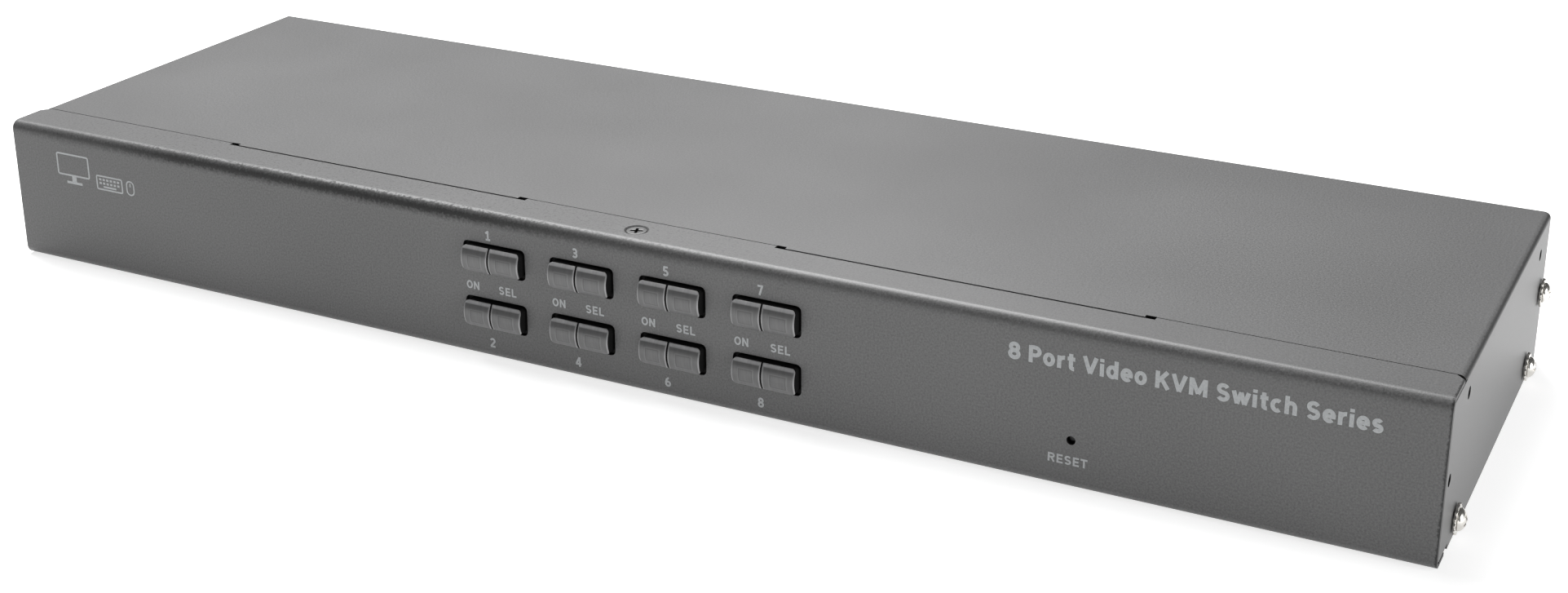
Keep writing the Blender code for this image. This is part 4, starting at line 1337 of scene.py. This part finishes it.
sockets = {
    "panel": 66.0,
    "mouth": 66.5,
    "wall": 0.4,
    "canCorner": 0.5,
    "dataCan": (12.0, 10.8),
    "twinCan": (14.4, 15.6),
    "videoSize": (15.0, 6.4),
    "videoTongue": (11.2, -0.3, 1.1),
    "dataSize": (9.3, 8.6),
    "dataTongue": (5.6, -1.6, 1.6),
    "twinMouth": (12.6, 5.2),
    "twinTongue": (11.0, 0.2, 2.1),
    "tongueBack": 4.1,
    "twinPitch": 7.6,
    "videoDepth": 11.5,
    "dataDepth": 15.5,
    "twinDepth": 17.0,
}


def videoOutline(inset=0.0):
    w, h = (size / 2 - inset for size in sockets["videoSize"])
    low = 5.4 - inset * 0.6
    return [(w, h), (-w, h), (-w, -h * 0.35), (-low, -h), (low, -h), (w, -h * 0.35)]


def dataOutline(inset=0.0):
    w, h = (size / 2 - inset for size in sockets["dataSize"])
    return [(-w, -h), (w, -h), (w, h * 0.52), (w * 0.6, h), (-w * 0.6, h), (-w, h * 0.52)]


def twinOutline(inset=0.0):
    w, h = (size / 2 + 0.4 - inset for size in sockets["twinMouth"])
    return [(w, h), (-w, h), (-w, -h), (w, -h)]


def roundOff(outline, radius=0.5, steps=3):
    result = []
    count = len(outline)
    for i in range(count):
        before, here, after = (Vector(outline[(i + k) % count]) for k in (-1, 0, 1))
        start = here + (before - here).normalized() * radius
        end = here + (after - here).normalized() * radius
        for step in range(steps + 1):
            t = step / steps
            point = start * (1 - t) ** 2 + here * 2 * t * (1 - t) + end * t * t
            result.append(tuple(point))
    return result


def moved(outline, x, z):
    return [(px + x, pz + z) for px, pz in outline]


def socketSet(middles, shape, tongue, contacts, depth):  # shells, insulators and contact places
    shells, cores, spots = bmesh.new(), bmesh.new(), []
    back, mouth = sockets["panel"], sockets["mouth"]
    for x, z in middles:
        outer = moved(roundOff(shape(0)), x, z)
        inner = moved(roundOff(shape(sockets["wall"])), x, z)
        addTube(shells, outer, inner, back - depth, mouth)
        plug = moved(roundOff(shape(sockets["wall"] + 0.02)), x, z)
        addPrism(cores, plug, back - depth + 0.2, back - depth + 3)
        width, low, high = tongue
        left, right = x - width / 2, x + width / 2
        blade = [(left, z + low), (right, z + low), (right, z + high), (left, z + high)]
        addPrism(cores, roundOff(blade, 0.2), back - depth + 2.5, back - sockets["tongueBack"])
        for edge in (low - 0.02, high + 0.02):
            for i in range(contacts):
                across = (i + 0.5) / contacts - 0.5
                spots.append((x + across * (width - 1), back - sockets["tongueBack"] - 2.2, z + edge))
    return shells, cores, spots


def socketBlocks(name, places, width, height, middles, shape, depth):  # outer cans with their mouths cut
    back = sockets["panel"]
    cans, mouths = bmesh.new(), bmesh.new()
    for place in places:
        can = roundedBox(width, height, sockets["canCorner"], middle=place)
        addPrism(cans, can, back - depth, back + 0.3)
    for x, z in middles:
        addPrism(mouths, moved(roundOff(shape(-0.02)), x, z), back - depth + 0.6, back + 1)
    return carve(newPiece(name + "_cans", cans), newPiece(name + "_mouths", mouths))


def contactStrip():  # one spring contact, a flat leaf
    bm = bmesh.new()
    addBlock(bm, (-0.16, -2.2, -0.05), (0.16, 2.0, 0.05))
    return newPiece("contactStrip", bm)


def socketPieces(name, nodes, middles, shape, kind, contacts, cans=None):
    depth = sockets[kind + "Depth"]
    shells, cores, spots = socketSet(middles, shape, sockets[kind + "Tongue"], contacts, depth)
    shell = newPiece(name + "_shells", shells)
    if cans:
        shell = mergeInto(name + "_shells", [shell, socketBlocks(name, *cans, middles, shape, depth)])
    softenEdges(shell, 0.07)
    finishPiece(paintPiece(shell, shellMetal), "chassis", "nickel", *nodes)
    core = softenEdges(newPiece(name + "_insulators", cores), 0.08)
    finishPiece(paintPiece(core, black), "chassis", "black_plastic")
    strip = contactStrip()
    leaves = copiesOn(name + "_contacts", strip, spots, [(0, 0, 0)] * len(spots), gold)
    bpy.data.objects.remove(strip)
    finishPiece(leaves, "chassis", "nickel")


def middleOf(node):
    x, _, z = nodeMiddle(node)
    return x, z


videoNodes = [f"port_video_socket_{n}" for n in range(1, 9)] + ["console_video_socket"]
dataNodes = [f"port_data_socket_{n}" for n in range(1, 9)]
twinX, twinZ = middleOf("console_data_socket")
videoMiddles = [middleOf(n) for n in videoNodes]
socketPieces("video_sockets", videoNodes, videoMiddles, videoOutline, "video", 9)
dataMiddles = [middleOf(n) for n in dataNodes]
dataCans = (dataMiddles, *sockets["dataCan"])
socketPieces("data_sockets", dataNodes, dataMiddles, dataOutline, "data", 2, dataCans)
twinMiddles = [(twinX, twinZ - sockets["twinPitch"] / 2), (twinX, twinZ + sockets["twinPitch"] / 2)]
twinCans = ([(twinX, twinZ)], *sockets["twinCan"])
socketPieces("console_data", ["console_data_socket"], twinMiddles, twinOutline, "twin", 4, twinCans)


inlet = {
    "nose": (4.0, 3.1),  # outer and inner radius of the round nose
    "height": 16.0,
    "mouth": (57.0, 66.5),
    "plug": (53.2, 57.2),
    "block": (9.9, 11.9, 55.0),
    "pin": (1.0, 9.0, 61.9),
}


def powerInlet():
    low, high = (tuple(v / mm for v in corner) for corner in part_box("power_inlet"))
    x, z = (low[0] + high[0]) / 2, inlet["height"]
    bm = bmesh.new()
    ring, bore = (circle(radius, 40, (x, z)) for radius in inlet["nose"])
    addTube(bm, ring, bore, *inlet["mouth"])
    addPrism(bm, ring, *inlet["plug"])
    width, height, back = inlet["block"]
    addPrism(bm, roundedBox(width, height, 0.5, middle=(x, (low[2] + high[2]) / 2)), low[1], back)
    housing = softenEdges(newPiece("inlet_housing", bm), 0.15)
    finishPiece(paintPiece(housing, black), "chassis", "black_plastic", "power_inlet")
    radius, length, tip = inlet["pin"]
    profile = [(0, 0), (radius - 0.25, 0), (radius, -0.3), (radius, -length), (0, -length)]
    pin = turnedProfile("inlet_pin", profile, 24)
    turned = Matrix.Rotation(math.radians(-90), 4, "X")
    pin.data.transform(Matrix.Translation((x * mm, tip * mm, z * mm)) @ turned)
    finishPiece(paintPiece(pin, nickel), "chassis", "nickel")


powerInlet()
print("rear sockets ready")


inside = {"edge": 0.12, "plungerEdge": 0.2}


def refinedInner(node, material, slot, body="chassis", edge=inside["edge"]):
    piece = softenEdges(newPiece(node + "_piece", packedMesh(node)), edge)
    return finishPiece(paintPiece(piece, material), body, slot, node)


for node in ("front_board", "main_board"):
    refinedInner(node, boardGreen, "circuit_board")
for number in range(1, 9):
    refinedInner(f"tact_switch_{number}", black, "black_plastic")
refinedInner("reset_switch", black, "black_plastic")
refinedInner("reset_plunger", black, "black_plastic", "reset", inside["plungerEdge"])
refinedInner("heatsink", aluminium, "aluminium")
refinedInner("ribbon_cable", ribbonGrey, "ribbon")
for number in range(1, 4):
    refinedInner(f"front_standoff_{number}", nickel, "nickel")
for number in range(1, 5):
    refinedInner(f"main_standoff_{number}", nickel, "nickel")
print("inside ready")
